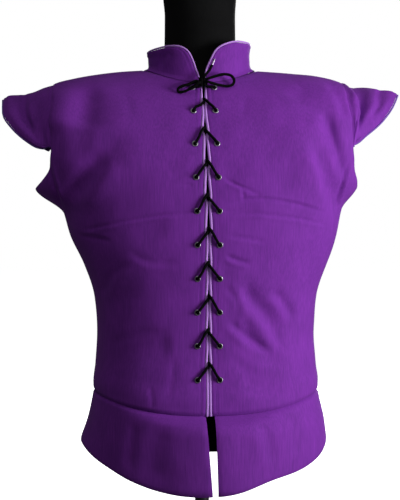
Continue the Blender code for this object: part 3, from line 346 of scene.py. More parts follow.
# A tip's sleeve: share of the way to its point, and girth over its radius
TIP_SLEEVE = (
    (0.0, 0.90), (0.02, 1.02), (0.10, 1.02), (0.14, 0.96), (0.30, 0.95),
    (0.60, 0.88), (0.86, 0.80), (0.95, 0.70), (0.99, 0.45), (1.0, 0.12),
)
TIP_SLEEVE_LENGTH = 0.97
TIP_SIDES = 20

# Creases that the solids don't have: (x, z) along each line in a front or back view, the half width and the
# depth of its trough, or of its ridge where the depth is negative, and the side on which a lower ridge
# stands beside it
Crease = namedtuple("Crease", "line width depth ridge")
FRONT_CREASES = (
    Crease(((-0.188, 0.776), (-0.194, 0.738), (-0.202, 0.700)), 0.030, 0.0042, 0),
    Crease(((-0.158, 0.668), (-0.192, 0.628), (-0.226, 0.585)), 0.016, 0.0052, -1),
    Crease(((-0.217, 0.535), (-0.147, 0.550), (-0.095, 0.560), (-0.017, 0.569)), 0.0030, 0.0016, 1),
    Crease(((-0.142, 0.778), (-0.126, 0.755), (-0.123, 0.720)), 0.008, 0.0012, 0),
    Crease(((-0.246, 0.782), (-0.246, 0.735), (-0.244, 0.690)), 0.032, -0.0050, 0),
    Crease(((-0.214, 0.533), (-0.179, 0.527), (-0.148, 0.521)), 0.004, 0.0014, -1),
    Crease(((-0.129, 0.508), (-0.091, 0.489), (-0.043, 0.489)), 0.006, 0.0010, 1),
    Crease(((-0.171, 0.427), (-0.152, 0.466), (-0.123, 0.489)), 0.008, 0.0020, 1),
    Crease(((-0.163, 0.346), (-0.123, 0.367), (-0.067, 0.380)), 0.009, 0.0014, 0),
    Crease(((-0.091, 0.292), (-0.087, 0.268), (-0.089, 0.250)), 0.004, 0.0009, 0),
    Crease(((-0.067, 0.261), (-0.056, 0.301), (-0.052, 0.348)), 0.006, 0.0008, 0),
    Crease(((-0.017, 0.652), (-0.033, 0.633), (-0.059, 0.620)), 0.004, 0.0007, 0),
    Crease(((-0.016, 0.604), (-0.030, 0.613), (-0.049, 0.610)), 0.003, 0.0006, 0),
    Crease(((0.088, 0.788), (0.134, 0.768), (0.176, 0.742)), 0.008, 0.0020, 1),
    Crease(((0.127, 0.803), (0.150, 0.785), (0.166, 0.765)), 0.004, 0.0014, 1),
    Crease(((0.204, 0.792), (0.223, 0.757), (0.234, 0.720)), 0.008, 0.0034, 1),
    Crease(((0.192, 0.742), (0.207, 0.695), (0.221, 0.655), (0.230, 0.615)), 0.011, 0.0074, 1),
    Crease(((0.168, 0.690), (0.188, 0.645), (0.202, 0.600), (0.210, 0.560)), 0.010, 0.0044, 1),
    Crease(((0.243, 0.655), (0.231, 0.628), (0.2215, 0.597), (0.217, 0.566)), 0.0034, 0.0040, -1),
    Crease(((-0.253, 0.648), (-0.249, 0.623), (-0.242, 0.598), (-0.232, 0.572)), 0.0034, 0.0036, -1),
    Crease(((0.026, 0.620), (0.059, 0.607), (0.092, 0.591)), 0.0028, 0.0016, 1),
    Crease(
        ((0.024, 0.578), (0.059, 0.588), (0.090, 0.590), (0.141, 0.583), (0.203, 0.566)), 0.0028, 0.0017, -1
    ),
    Crease(((0.024, 0.562), (0.075, 0.566), (0.141, 0.559), (0.214, 0.546)), 0.0028, 0.0014, 1),
    Crease(((0.055, 0.610), (0.058, 0.597), (0.059, 0.585)), 0.0030, 0.0010, 1),
    Crease(((0.027, 0.500), (0.050, 0.491), (0.072, 0.486)), 0.004, 0.0022, 1),
    Crease(((0.029, 0.530), (0.061, 0.527), (0.098, 0.519)), 0.0035, 0.0012, 1),
    Crease(((0.050, 0.460), (0.074, 0.427), (0.103, 0.391), (0.134, 0.334)), 0.012, 0.0052, 1),
    Crease(((0.031, 0.400), (0.051, 0.380), (0.072, 0.363), (0.111, 0.338)), 0.007, 0.0030, 1),
    Crease(((0.103, 0.447), (0.126, 0.423), (0.148, 0.389)), 0.009, 0.0036, 1),
    Crease(((0.027, 0.452), (0.047, 0.428), (0.053, 0.403)), 0.006, 0.0012, -1),
    Crease(((0.027, 0.345), (0.069, 0.313), (0.126, 0.303)), 0.009, 0.0012, 0),
    Crease(((0.178, 0.467), (0.163, 0.427), (0.158, 0.379)), 0.006, 0.0016, 1),
    Crease(((0.024, 0.626), (0.040, 0.617), (0.053, 0.613)), 0.003, 0.0007, 0),
    Crease(((0.024, 0.572), (0.040, 0.569), (0.063, 0.575)), 0.003, 0.0006, 0),
    Crease(((0.063, 0.783), (0.066, 0.756), (0.059, 0.719)), 0.006, 0.0009, 0),
)
BACK_CREASES = (
    Crease(((0.185, 0.730), (0.200, 0.680), (0.208, 0.615)), 0.008, 0.0034, -1),
    Crease(((-0.170, 0.735), (-0.195, 0.690), (-0.215, 0.620)), 0.009, 0.0036, 1),
    Crease(((0.120, 0.780), (0.160, 0.757), (0.205, 0.715)), 0.008, 0.0022, 1),
    Crease(((-0.100, 0.782), (-0.145, 0.765), (-0.200, 0.725)), 0.007, 0.0020, -1),
    Crease(((-0.035, 0.790), (0.005, 0.778), (0.048, 0.788)), 0.006, 0.0014, 1),
    Crease(((0.200, 0.560), (0.130, 0.552), (0.060, 0.560)), 0.004, 0.0016, 1),
    Crease(((-0.205, 0.585), (-0.150, 0.560), (-0.085, 0.556)), 0.004, 0.0018, -1),
    Crease(((0.160, 0.505), (0.110, 0.480), (0.045, 0.474)), 0.006, 0.0022, 1),
    Crease(((-0.160, 0.490), (-0.110, 0.462), (-0.030, 0.460)), 0.007, 0.0024, 1),
    Crease(((0.140, 0.430), (0.080, 0.400), (0.000, 0.395)), 0.007, 0.0028, 1),
    Crease(((-0.150, 0.410), (-0.090, 0.378), (-0.010, 0.368)), 0.008, 0.0026, -1),
    Crease(((0.120, 0.350), (0.060, 0.332), (-0.030, 0.338)), 0.006, 0.0020, 1),
    Crease(((-0.110, 0.325), (-0.060, 0.312), (0.010, 0.318)), 0.006, 0.0014, 1),
    Crease(((0.150, 0.310), (0.110, 0.290), (0.070, 0.286)), 0.005, 0.0014, -1),
    Crease(((0.020, 0.720), (0.024, 0.660), (0.016, 0.610)), 0.010, 0.0010, 0),
)
SKIRT_FRONT_CREASES = (
    Crease(((-0.112, 0.236), (-0.120, 0.196), (-0.126, 0.150)), 0.009, 0.0020, 0),
    Crease(((0.026, 0.262), (0.026, 0.180), (0.026, 0.080)), 0.095, -0.0180, 0),
    Crease(((-0.070, 0.236), (-0.080, 0.186), (-0.078, 0.130)), 0.022, 0.0030, 0),
    Crease(((0.076, 0.240), (0.094, 0.205), (0.104, 0.158)), 0.010, 0.0022, 1),
    Crease(((0.135, 0.246), (0.142, 0.214), (0.143, 0.172)), 0.008, 0.0014, 0),
)
SKIRT_BACK_CREASES = (
    Crease(((-0.090, 0.262), (-0.098, 0.222), (-0.102, 0.186)), 0.010, 0.0024, 0),
    Crease(((0.020, 0.262), (0.018, 0.222), (0.022, 0.184)), 0.011, 0.0022, 0),
    Crease(((0.110, 0.264), (0.118, 0.226), (0.120, 0.190)), 0.009, 0.0018, 0),
)
# A wing's creases run in (share along the armhole, share of the way out) instead; 1 is the wearer's left
# wing and -1 the right
WING_CREASES = {
    1: (
        Crease(((0.49, 0.04), (0.43, 0.26), (0.36, 0.40), (0.26, 0.48), (0.10, 0.50)), 0.085, 0.0130, -1),
        Crease(((0.02, 0.10), (0.10, 0.22), (0.17, 0.30)), 0.050, 0.0040, 1),
        Crease(((0.47, 0.62), (0.40, 0.74), (0.30, 0.80)), 0.060, 0.0040, -1),
        Crease(((0.66, 0.00), (0.60, 0.45), (0.58, 0.85)), 0.045, 0.0036, 1),
        Crease(((0.86, 0.00), (0.76, 0.45), (0.70, 0.85)), 0.050, 0.0040, -1),
    ),
    -1: (
        Crease(((0.47, 0.50), (0.38, 0.62), (0.27, 0.68), (0.15, 0.66)), 0.070, 0.0070, -1),
        Crease(((0.48, 0.02), (0.40, 0.10), (0.36, 0.20)), 0.040, 0.0022, 0),
        Crease(((0.66, 0.00), (0.60, 0.45), (0.58, 0.85)), 0.045, 0.0036, 1),
        Crease(((0.86, 0.00), (0.76, 0.45), (0.70, 0.85)), 0.050, 0.0040, -1),
    ),
}
COLLAR_CREASES = (
    Crease(((-0.075, 0.805), (-0.066, 0.822), (-0.050, 0.832)), 0.006, 0.0012, 0),
    Crease(((0.030, 0.800), (0.046, 0.816), (0.066, 0.823)), 0.006, 0.0008, 0),
)
# The lower ridge's height and distance over the trough's, and the share of a line over which its ends fade
RIDGE_HEIGHT = 0.45
RIDGE_OFFSET = 1.7
CREASE_END = 0.28
CREASE_SPANS = 5
# Over these spans of the cosine of the angle and of the share up the piece, creases fade in or out
CREASE_FREE_OF_SIDE = (0.0, 0.14)
CREASE_FREE_OF_WAIST = (0.0, 0.03)
CREASE_FREE_OF_SHOULDER = (0.93, 0.975)
SKIRT_CREASE_FREE_OF_SIDE = (0.0, 0.22)
SKIRT_CREASE_FREE_OF_WAIST = (0.85, 1.0)
WING_CREASE_FREE_OF_ROOT = (0.0, 0.12)
WING_CREASE_FREE_OF_EDGE = (0.86, 1.0)
BACK_RIPPLE_SHIFT = 0.05

# The padding's slow unevenness: the waves' lengths across and up, where they start, and their heights
Ripple = namedtuple("Ripple", "across up phase height")
RIPPLES = (
    Ripple(0.083, 0.190, 0.4, 0.00030),
    Ripple(-0.047, 0.120, 2.1, 0.00012),
    Ripple(0.110, -0.083, 1.2, 0.00030),
    Ripple(-0.180, 0.052, 5.2, 0.00018),
)

# Seams and hems, where the padded cloth rounds down to its edge
SEAM_DIP = 0.0013
SEAM_DIP_WIDTH = 0.0032
WAIST_DIP = 0.0030
WAIST_DIP_WIDTH = 0.0030
COLLAR_SEAM = 0.0020
COLLAR_FOOT_STITCH = 0.0020
SLIT_DIP = 0.0007
SLIT_DIP_WIDTH = 0.0016
STITCH_DIP = 0.0006
STITCH_DIP_WIDTH = 0.0013
FLAT_AT_LACING = (0.016, 0.030)
CHEST_GAP = 0.0012
CHEST_GAP_SPAN = (0.500, 0.560, 0.690, 0.735)
TOPSTITCH_INSET = 0.0075
COLLAR_TOPSTITCH = 0.0060
WING_TOPSTITCH = 0.0055
STITCH_PITCH = 0.0033
STITCH_LENGTH = 0.0024
THREAD_RADIUS = 0.00032
# A stitch's four rings: place over its length, then girth and height over the thread's radius
THREAD_RINGS = ((-0.5, 0.35, -0.5), (-0.32, 1.0, 0.35), (0.32, 1.0, 0.35), (0.5, 0.35, -0.5))
THREAD_SIDES = 6

# Grids: points across and up each piece; a front's are closer beside the slit, over the near share
NEAR_SLIT = 0.13
CORNER_SHARES = (0.681, 0.700)
CORNER_ROWS = 9
COLLAR_FIRST_ROW = 0.06
FRONT_GRID = (28, 78, 215)
BACK_GRID = (140, 190)
SKIRT_GRID = (100, 52)
COLLAR_GRID = (56, 84, 34)
WING_GRID = (46, 34)
EYELET_TURNS = 28
LACE_SIDES = 14
PIPING_SIDES = 12
FORM_COLUMNS = 144
POLE_SIDES = 48
BASE_SIDES = 128
BASE_BEVEL_ROWS = 7
BASE_TOP_RADIUS = 0.030
# The form's rows: first share, last share and count of each span
TRUNK_SPANS = ((0.0, 0.02, 5), (0.04, 1.0, 60))
NECK_SPANS = ((0.0, 0.97, 30), (0.98, 1.0, 6))
SHOULDER_ROWS = 8
FORM_FRONT = (0.5, 0.9)

# Flat cut of each cloth piece: width, length and area
Cut = namedtuple("Cut", "width length area")

# Camera, lights and stage
PHOTO_WIDTH, PHOTO_HEIGHT = 400, 500
SENSOR = 36.0
CAMERA_DISTANCE = 2.3
CAMERA_HEIGHT = 0.548
CAMERA_AZIMUTH = math.radians(-3.3)
FOCAL_PIXELS = 1357.0
AIM = (-0.0034, 0.0, 0.5056)
FLOOR_HALF = 14.0


def unit(vectors):
    """Vectors over their own lengths."""
    return vectors / np.linalg.norm(vectors, axis=-1, keepdims=True)


def smooth_step(low, high, value):
    """0 below low and 1 above high; between them 3 s^2 - 2 s^3 of the share s of the way."""
    share = np.clip((value - low) / (high - low), 0.0, 1.0)
    return share * share * (3.0 - 2.0 * share)


def column(rows, name):
    """One named value of every row of a table."""
    return np.array([getattr(row, name) for row in rows], float)


def paired(share, angle):
    """The two as arrays of one shape."""
    return np.broadcast_arrays(np.asarray(share, float), np.asarray(angle, float))


def run_lengths(path):
    """The length along a path up to each of its points."""
    return np.concatenate([[0.0], np.cumsum(np.linalg.norm(np.diff(path, axis=0), axis=1))])


def ring_walls(rows, sides, start=0, closed=False, turned=False):
    """Quads between each ring of points and the next, numbered row by row from start. A closed one joins its
    last ring to its first, and a turned one faces the other way."""
    index = np.arange(rows * sides).reshape(rows, sides) + start
    if closed:
        index = np.concatenate([index, index[:1]])
    onward = np.roll(index, -1, axis=1)
    walls = np.stack([index[:-1], index[1:], onward[1:], onward[:-1]], axis=-1).reshape(-1, 4)
    return walls[:, [0, 3, 2, 1]] if turned else walls


def smooth_value(at, known, values):
    """A cubic curve through a table's values, with harmonic slopes so that it never overshoots them."""
    step = np.diff(known)
    slope = np.diff(values) / step
    knot_slope = np.zeros(len(values))
    product = slope[:-1] * slope[1:]
    total = np.where(product > 0, slope[:-1] + slope[1:], 1.0)
    knot_slope[1:-1] = np.where(product > 0, 2 * product / total, 0.0)
    knot_slope[0], knot_slope[-1] = slope[0], slope[-1]
    at = np.clip(at, known[0], known[-1])
    i = np.clip(np.searchsorted(known, at, side="right") - 1, 0, len(step) - 1)
    u = (at - known[i]) / step[i]
    return (
        values[i] * (1 + 2 * u) * (1 - u) ** 2
        + knot_slope[i] * step[i] * u * (1 - u) ** 2
        + values[i + 1] * u * u * (3 - 2 * u)
        + knot_slope[i + 1] * step[i] * u * u * (u - 1)
    )


def ring_value(rings, share, name):
    """A ring's value at a share: the smooth curve through the table of rings."""
    return smooth_value(share, column(rings, "share"), column(rings, name))


def ring_point(rings, share, angle):
    """A superellipse in plan, whose front and back halves have depths and heights of their own."""
    share, angle = paired(share, angle)
    front_z, side_z, back_z, half_width, front, back, square, centre_x, front_x = (
        ring_value(rings, share, name) for name in RING_FIELDS.split()[1:]
    )
    sine, cosine = np.sin(angle), np.cos(angle)
    in_front = cosine > 0
    x = centre_x + half_width * np.sign(sine) * np.abs(sine) ** (2 / square)
    x = x + np.where(in_front, front_x - centre_x, 0.0) * cosine**2
    y = -np.sign(cosine) * np.where(in_front, front, back) * np.abs(cosine) ** (2 / square)
    z = side_z + (np.where(in_front, front_z, back_z) - side_z) * cosine**2
    return np.stack([x, y, z], axis=-1)


def normals(surface, share, angle):
    """Outward unit normals, from differences of the surface a small step away and within its rings."""
    share = np.clip(share, 3 * NORMAL_STEP, 1.0 - 3 * NORMAL_STEP)
    up = surface(share + NORMAL_STEP, angle) - surface(share - NORMAL_STEP, angle)
    around = surface(share, angle + NORMAL_STEP) - surface(share, angle - NORMAL_STEP)
    return unit(np.cross(around, up))


def fold_depth(folds, x, z):
    """How far the folds push the cloth in at a front or back view's point, each fading across and along."""
    total = np.zeros(np.shape(x))
    for fold in folds:
        run_x, run_z = fold.x1 - fold.x0, fold.z1 - fold.z0
        length = math.hypot(run_x, run_z)
        along = ((x - fold.x0) * run_x + (z - fold.z0) * run_z) / length**2
        across = ((x - fold.x0) * run_z - (z - fold.z0) * run_x) / length
        past_end = np.maximum(0.0, np.abs(along - 0.5) - 0.3) * length
        faded = np.exp(-((across / fold.width) ** 2) - (past_end / (1.5 * fold.width)) ** 2)
        total = total + fold.depth * faded
    return total


def body_without_folds(share, angle):
    """The body's rings, raised across the shoulders by a slope times x. At each underarm x grows by a size
    times a rise and fall in share, times a bell of the angle off the side."""
    share, angle = paired(share, angle)
    point = ring_point(BODY_RINGS, share, angle)
    come, full, leave, gone = SLOPE_SPAN
    slope = SHOULDER_SLOPE * smooth_step(come, full, share) * (1.0 - smooth_step(leave, gone, share))
    point[..., 2] += slope * point[..., 0]
    from_side = (np.abs(np.degrees(angle)) - 90.0) / UNDERARM_SPREAD
    for flare in UNDERARMS:
        rise = smooth_step(flare.low, flare.peak, share) * (1.0 - smooth_step(flare.peak, flare.high, share))
        on_side = np.where(flare.side * angle > 0, np.exp(-from_side * from_side), 0.0)
        point[..., 0] += flare.side * flare.size * rise * on_side
    return point


def body_surface(share, angle):
    """The body's outer face, with its folds."""
    share, angle = paired(share, angle)
    point = body_without_folds(share, angle)
    x, z = point[..., 0], point[..., 2]
    front = smooth_step(*FOLD_FREE_OF_LACING, np.abs(x)) * fold_depth(FRONT_FOLDS, x, z)
    depth = np.where(np.cos(angle) > 0, front, fold_depth(BACK_FOLDS, x, z))
    depth = depth * smooth_step(*FOLD_FREE_OF_WAIST, share)
    depth = depth * (1.0 - smooth_step(*FOLD_FREE_OF_SHOULDER, share))
    depth = depth * smooth_step(*FOLD_FREE_OF_SIDE, np.abs(np.cos(angle)))
    return point - normals(body_without_folds, share, angle) * depth[..., None]


def skirt_surface(share, angle):
    """The skirt's outer face, with a hem that rises and falls."""
    share, angle = paired(share, angle)
    point = ring_point(SKIRT_RINGS, share, angle)
    for wave in HEM_WAVES:
        off = (np.degrees(angle) - wave.angle) / wave.spread
        point[..., 2] += wave.rise * (1.0 - share) * np.exp(-off * off)
    return point


def collar_surface(share, angle):
    """The collar's outer face, higher on the wearer's left."""
    share, angle = paired(share, angle)
    point = ring_point(COLLAR_RINGS, share, angle)
    point[..., 2] += COLLAR_TILT * share * np.sin(angle)
    return point


def angle_at_x(rings, share, x):
    """The angle at which a ring's front has this x."""
    centre_x, front_x, half_width, square = (
        ring_value(rings, share, name) for name in ("centre_x", "front_x", "half_width", "square")
    )
    angle = np.zeros(np.shape(x))
    for _ in range(5):
        middle = centre_x + (front_x - centre_x) * np.cos(angle) ** 2
        reach = np.clip((x - middle) / half_width, -1.0, 1.0)
        angle = np.sign(reach) * np.arcsin(np.abs(reach) ** (square / 2))
    return angle


def side_gap_angle(rings, share, depth_name):
    """The angle off the side at which half a seam gap opens between the front and the back."""
    depth = ring_value(rings, share, depth_name)
    square = ring_value(rings, share, "square")
    return np.arcsin((0.5 * SEAM_GAP / depth) ** (square / 2))


def share_at_front_z(front_z):
    """The share at which the centre front has this height, read back from a dense table."""
    dense = np.linspace(0.0, 1.0, 2001)
    return np.interp(front_z, ring_value(BODY_RINGS, dense, "front_z"), dense)


def front_centre_x(z):
    """The centre front's x at a height."""
    return ring_value(BODY_RINGS, share_at_front_z(z), "front_x")


def eyelet_heights():
    """Heights a pitch apart from the first eyelet, and the top one's own."""
    return [EYELET_FIRST_Z + i * EYELET_PITCH for i in range(EYELET_PITCHES + 1)] + [EYELET_TOP_Z]


def crossing_heights():
    """Where the two halves of the lace cross in the slit, which is widest there."""
    heights = eyelet_heights()
    return [z + CROSSING_RISE for z in heights[:-2]] + [heights[-2] + TOP_CROSSING_RISE]


def slit_heights():
    """Where the slit closes and opens, at the same steps from each crossing."""
    return [crossing + step.above for crossing in crossing_heights() for step in SLIT_STEPS]


def slit_half(front_z):
    """Half the distance between the two pipings at a height on the centre front."""
    heights = [BODY_RINGS[0].front_z, *slit_heights(), BODY_RINGS[-1].front_z]
    steps = [step.half for _ in crossing_heights() for step in SLIT_STEPS]
    return np.interp(front_z, heights, [SLIT_AT_WAIST, *steps, SLIT_AT_NECKLINE])


def armhole_angle(share, name):
    """The armhole's edge at a share, in radians: the smooth curve through its table."""
    return np.radians(smooth_value(share, column(ARMHOLE, "share"), column(ARMHOLE, name)))


def half_round(start, end, shares):
    """Rows of angles from each row's start to its end, with columns at the given shares of the way."""
    shares = np.asarray(shares)
    return start[:, None] + (end - start)[:, None] * shares[None, :]


def signed(angles):
    """Angles past the centre back, as angles on the wearer's right."""
    return np.where(angles > math.pi, angles - 2 * math.pi, angles)


def away_from_edge(line, facing):
    """In-surface directions that point off a panel's edge, longer at bends so that offsets stay parallel."""
    run = unit(np.diff(line, axis=0))
    run = np.concatenate([run[:1], run, run[-1:]])
    before = unit(np.cross(run[:-1], facing))
    after = unit(np.cross(run[1:], facing))
    middle = unit(before + after)
    return middle / np.sum(middle * after, axis=-1, keepdims=True)


def smooth_strand(points, per_span=2):
    """More points on the smooth curve through a strand's own points."""
    points = np.array(points, float)
    before = np.vstack([2 * points[0] - points[1], points[:-2]])
    after = np.vstack([points[2:], 2 * points[-1] - points[-2]])
    start, end = points[:-1], points[1:]
    found = []
    for u in np.arange(per_span) / per_span:
        straight = 2 * start + (end - before) * u
        bend = (2 * before - 5 * start + 4 * end - after) * u**2
        twist = (3 * start - before - 3 * end + after) * u**3
        found.append(0.5 * (straight + bend + twist))
    return np.vstack([np.stack(found, axis=1).reshape(-1, points.shape[1]), points[-1:]])


def knot_ends(direction):
    """Two points that lead a strand straight off the knot, the first just clear of its surface."""
    way = unit(np.array(direction, float))
    surface = 1.0 / np.linalg.norm(way / np.array(KNOT_RADII))
    centre = np.array(KNOT_CENTRE)
    return [centre + way * (surface + SEAM_GAP), centre + way * (surface + KNOT_STRAND)]


def crease_depth(creases, across, up):
    """The depth pressed in by creases: for each one, a bell of the distance from its smooth line, less a
    lower bell to one side, times a fade towards its two ends."""
    total = np.zeros(np.shape(across))
    for crease in creases:
        line = smooth_strand(crease.line, CREASE_SPANS)
        runs = np.diff(line, axis=0)
        lengths = np.hypot(runs[:, 0], runs[:, 1])
        starts = np.concatenate([[0.0], np.cumsum(lengths)])
        nearest = np.full(np.shape(across), np.inf)
        side = np.zeros(np.shape(across))
        along = np.zeros(np.shape(across))
        for (x0, z0), (run_x, run_z), length, start in zip(line, runs, lengths, starts):
            share = np.clip(((across - x0) * run_x + (up - z0) * run_z) / length**2, 0.0, 1.0)
            off_x = across - x0 - share * run_x
            off_z = up - z0 - share * run_z
            distance = np.hypot(off_x, off_z)
            nearer = distance < nearest
            nearest = np.where(nearer, distance, nearest)
            side = np.where(nearer, np.sign(off_x * run_z - off_z * run_x), side)
            along = np.where(nearer, (start + share * length) / starts[-1], along)
        fade = smooth_step(0.0, CREASE_END, along) * smooth_step(0.0, CREASE_END, 1.0 - along)
        off = nearest * side / crease.width
        trough = np.exp(-off * off)
        ridge = np.exp(-((off - crease.ridge * RIDGE_OFFSET) ** 2)) * RIDGE_HEIGHT * abs(crease.ridge)
        total = total + crease.depth * (trough - ridge) * fade
    return total


def ripple_height(across, up):
    """The sum of a few slow waves over the cloth."""
    total = np.zeros(np.shape(across))
    for wave in RIPPLES:
        total = total + wave.height * np.sin(2 * np.pi * (across / wave.across + up / wave.up) + wave.phase)
    return total


def fine_body(share, angle):
    """The body's face with its creases, which fade out beside the lacing and at the seams."""
    share, angle = paired(share, angle)
    point = body_surface(share, angle)
    x, z = point[..., 0], point[..., 2]
    cosine = np.cos(angle)
    off_side = smooth_step(*CREASE_FREE_OF_SIDE, np.abs(cosine))
    front = crease_depth(FRONT_CREASES, x, z) * smooth_step(*FLAT_AT_LACING, np.abs(x))
    depth = np.where(cosine > 0, front, crease_depth(BACK_CREASES, x, z)) * off_side
    swell = ripple_height(x + np.where(cosine > 0, 0.0, BACK_RIPPLE_SHIFT), z) * off_side
    swell = swell * np.where(cosine > 0, smooth_step(*FLAT_AT_LACING, np.abs(x)), 1.0)
    free = smooth_step(*CREASE_FREE_OF_WAIST, share) * (1.0 - smooth_step(*CREASE_FREE_OF_SHOULDER, share))
    return point + normals(body_surface, share, angle) * ((swell - depth) * free)[..., None]


def fine_skirt(share, angle):
    """The skirt's face with its creases, which fade out at the waist seam and at the sides."""
    share, angle = paired(share, angle)
    point = skirt_surface(share, angle)
    x, z = point[..., 0], point[..., 2]
    cosine = np.cos(angle)
    front = crease_depth(SKIRT_FRONT_CREASES, x, z)
    depth = np.where(cosine > 0, front, crease_depth(SKIRT_BACK_CREASES, x, z))
    free = smooth_step(*SKIRT_CREASE_FREE_OF_SIDE, np.abs(cosine))
    free = free * (1.0 - smooth_step(*SKIRT_CREASE_FREE_OF_WAIST, share))
    swell = ripple_height(x, z)
    return point + normals(skirt_surface, share, angle) * ((swell - depth) * free)[..., None]


def fine_collar(share, angle):
    """The collar's face with a few soft dents."""
    share, angle = paired(share, angle)
    point = collar_surface(share, angle)
    depth = np.where(np.cos(angle) > 0, crease_depth(COLLAR_CREASES, point[..., 0], point[..., 2]), 0.0)
    return point - normals(collar_surface, share, angle) * depth[..., None]


def fine_panel(surface, plain, shares, angles, cloth):
    """A wall's outer grid on the creased surface, and its inner grid a cloth's thickness inside it."""
    share = np.broadcast_to(np.asarray(shares)[:, None], angles.shape)
    facing = normals(plain, share, angles)
    outer = surface(share, angles)
    return Panel(outer, outer - facing * cloth), facing


def edge_distances(grid):
    """How far each grid point lies along the cloth from the low row, high row, low column and high column."""
    up = np.cumsum(np.linalg.norm(np.diff(grid, axis=0), axis=2), axis=0)
    up = np.concatenate([np.zeros((1, grid.shape[1])), up])
    across = np.cumsum(np.linalg.norm(np.diff(grid, axis=1), axis=2), axis=1)
    across = np.concatenate([np.zeros((grid.shape[0], 1)), across], axis=1)
    return up, up[-1:] - up, across, across[:, -1:] - across


def bell(distance, width):
    """e to the minus square of distance over width."""
    return np.exp(-((distance / width) ** 2))


def pressed(panel, facing, depth):
    """The panel with its outer face moved in by the depth against the facing."""
    return Panel(panel.outer - facing * depth[..., None], panel.inner)


def surface_mesh(name, points, faces, uv, finish, sharp=SHARP_ANGLE):
    """A smooth-shaded piece from points, faces and UV, sharp where faces meet past an angle."""
    mesh = bpy.data.meshes.new(name)
    mesh.from_pydata(points.reshape(-1, 3).tolist(), [], [list(map(int, face)) for face in faces])
    mesh.update()
    layer = mesh.uv_layers.new(name="cloth")
    corners = np.zeros(len(mesh.loops), int)
    mesh.loops.foreach_get("vertex_index", corners)
    layer.data.foreach_set("uv", uv.reshape(-1, 2)[corners].ravel())
    mesh.materials.append(finish)
    mesh.shade_smooth()
    mesh.set_sharp_from_angle(angle=sharp)
    made = bpy.data.objects.new(name, mesh)
    bpy.context.scene.collection.objects.link(made)
    return made


def dress(piece, slot, *nodes):
    """The piece rides on the only body and hides the solids it stands for; the slot is not used."""
    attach(piece, "root")
    if nodes:
        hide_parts(*nodes)
    return piece


def cloth_piece(name, panel, finish, node):
    """A closed wall over an outer and an inner grid, with the cloth's own lengths as its UV."""
    rows, columns = panel.outer.shape[:2]
    count = rows * columns
    index = np.arange(count).reshape(rows, columns)
    a, b, c, d = index[:-1, :-1], index[:-1, 1:], index[1:, 1:], index[1:, :-1]
    outside = np.stack([a, b, c, d], axis=-1).reshape(-1, 4)
    faces = [outside, outside[:, ::-1] + count]
    for line in (index[0, ::-1], index[:, 0], index[-1, :], index[::-1, -1]):
        faces.append(np.stack([line[:-1], line[1:], line[1:] + count, line[:-1] + count], axis=-1))
    up, _, across, _ = edge_distances(panel.outer)
    middle = across[:, columns // 2][:, None]
    uv = np.stack([across - middle, up], axis=-1).reshape(-1, 2)
    points = np.concatenate([panel.outer.reshape(-1, 3), panel.inner.reshape(-1, 3)])
    piece = surface_mesh(name, points, np.concatenate(faces), np.concatenate([uv, uv]), finish)
    dress(piece, "purple_cloth", node)
    return piece


def slit_edge_x(z, side):
    """The x of the cloth's edge beside the piping at a height on the centre front."""
    return front_centre_x(z) + side * (fine_slit_half(z) + 2 * PIPING_RADIUS + SEAM_GAP)


def fine_slit_half(z):
    """Half the slit, a little wider over the chest, where the lacing strains most."""
    low, from_z, to_z, high = CHEST_GAP_SPAN
    wider = smooth_step(low, from_z, z) * (1.0 - smooth_step(to_z, high, z))
    return slit_half(z) + CHEST_GAP * wider


def body_rows(count):
    """Even shares from waist to neckline, closer ones where the armhole starts, and the shoulder's tip."""
    even = np.linspace(0.0, 1.0, count)
    corner = np.linspace(*CORNER_SHARES, CORNER_ROWS)
    return np.sort(np.concatenate([even, corner, [TIP_SHARE]]))


def fine_front(side):
    """Half of the front: its lacing edge follows the slit, its side the armhole and the side seam."""
    shares = body_rows(FRONT_GRID[2])
    front_z = ring_value(BODY_RINGS, shares, "front_z")
    start = angle_at_x(BODY_RINGS, shares, slit_edge_x(front_z, side))
    end = armhole_angle(shares, "front_angle") - side_gap_angle(BODY_RINGS, shares, "front")
    near, far, _ = FRONT_GRID
    across = [np.linspace(0.0, NEAR_SLIT, near)[:-1], np.linspace(NEAR_SLIT, 1.0, far)]
    across = np.concatenate(across)
    angles = half_round(start, side * end, across)[:, ::side]
    panel, facing = fine_panel(fine_body, body_surface, shares, angles, BODY_CLOTH)
    low, high, first, last = edge_distances(panel.outer)
    slit, edge = (first, last) if side > 0 else (last, first)
    dip = WAIST_DIP * bell(low, WAIST_DIP_WIDTH) + SEAM_DIP * bell(edge, SEAM_DIP_WIDTH)
    dip = dip + COLLAR_SEAM * bell(high, SEAM_DIP_WIDTH)
    dip = dip + SLIT_DIP * bell(slit, SLIT_DIP_WIDTH)
    dip = dip + STITCH_DIP * bell(slit - TOPSTITCH_INSET, STITCH_DIP_WIDTH)
    return pressed(panel, facing, dip)


def fine_back():
    """The back: rows of angles from armhole to armhole, less the dips at its seams."""
    shares = body_rows(BACK_GRID[1])
    start = math.pi - armhole_angle(shares, "back_angle") + side_gap_angle(BODY_RINGS, shares, "back")
    angles = signed(half_round(start, 2 * math.pi - start, np.linspace(0, 1, BACK_GRID[0])))
    panel, facing = fine_panel(fine_body, body_surface, shares, angles, BODY_CLOTH)
    low, high, first, last = edge_distances(panel.outer)
    dip = SEAM_DIP * (bell(first, SEAM_DIP_WIDTH) + bell(last, SEAM_DIP_WIDTH))
    dip = dip + COLLAR_SEAM * bell(high, SEAM_DIP_WIDTH)
    return pressed(panel, facing, dip + WAIST_DIP * bell(low, WAIST_DIP_WIDTH))


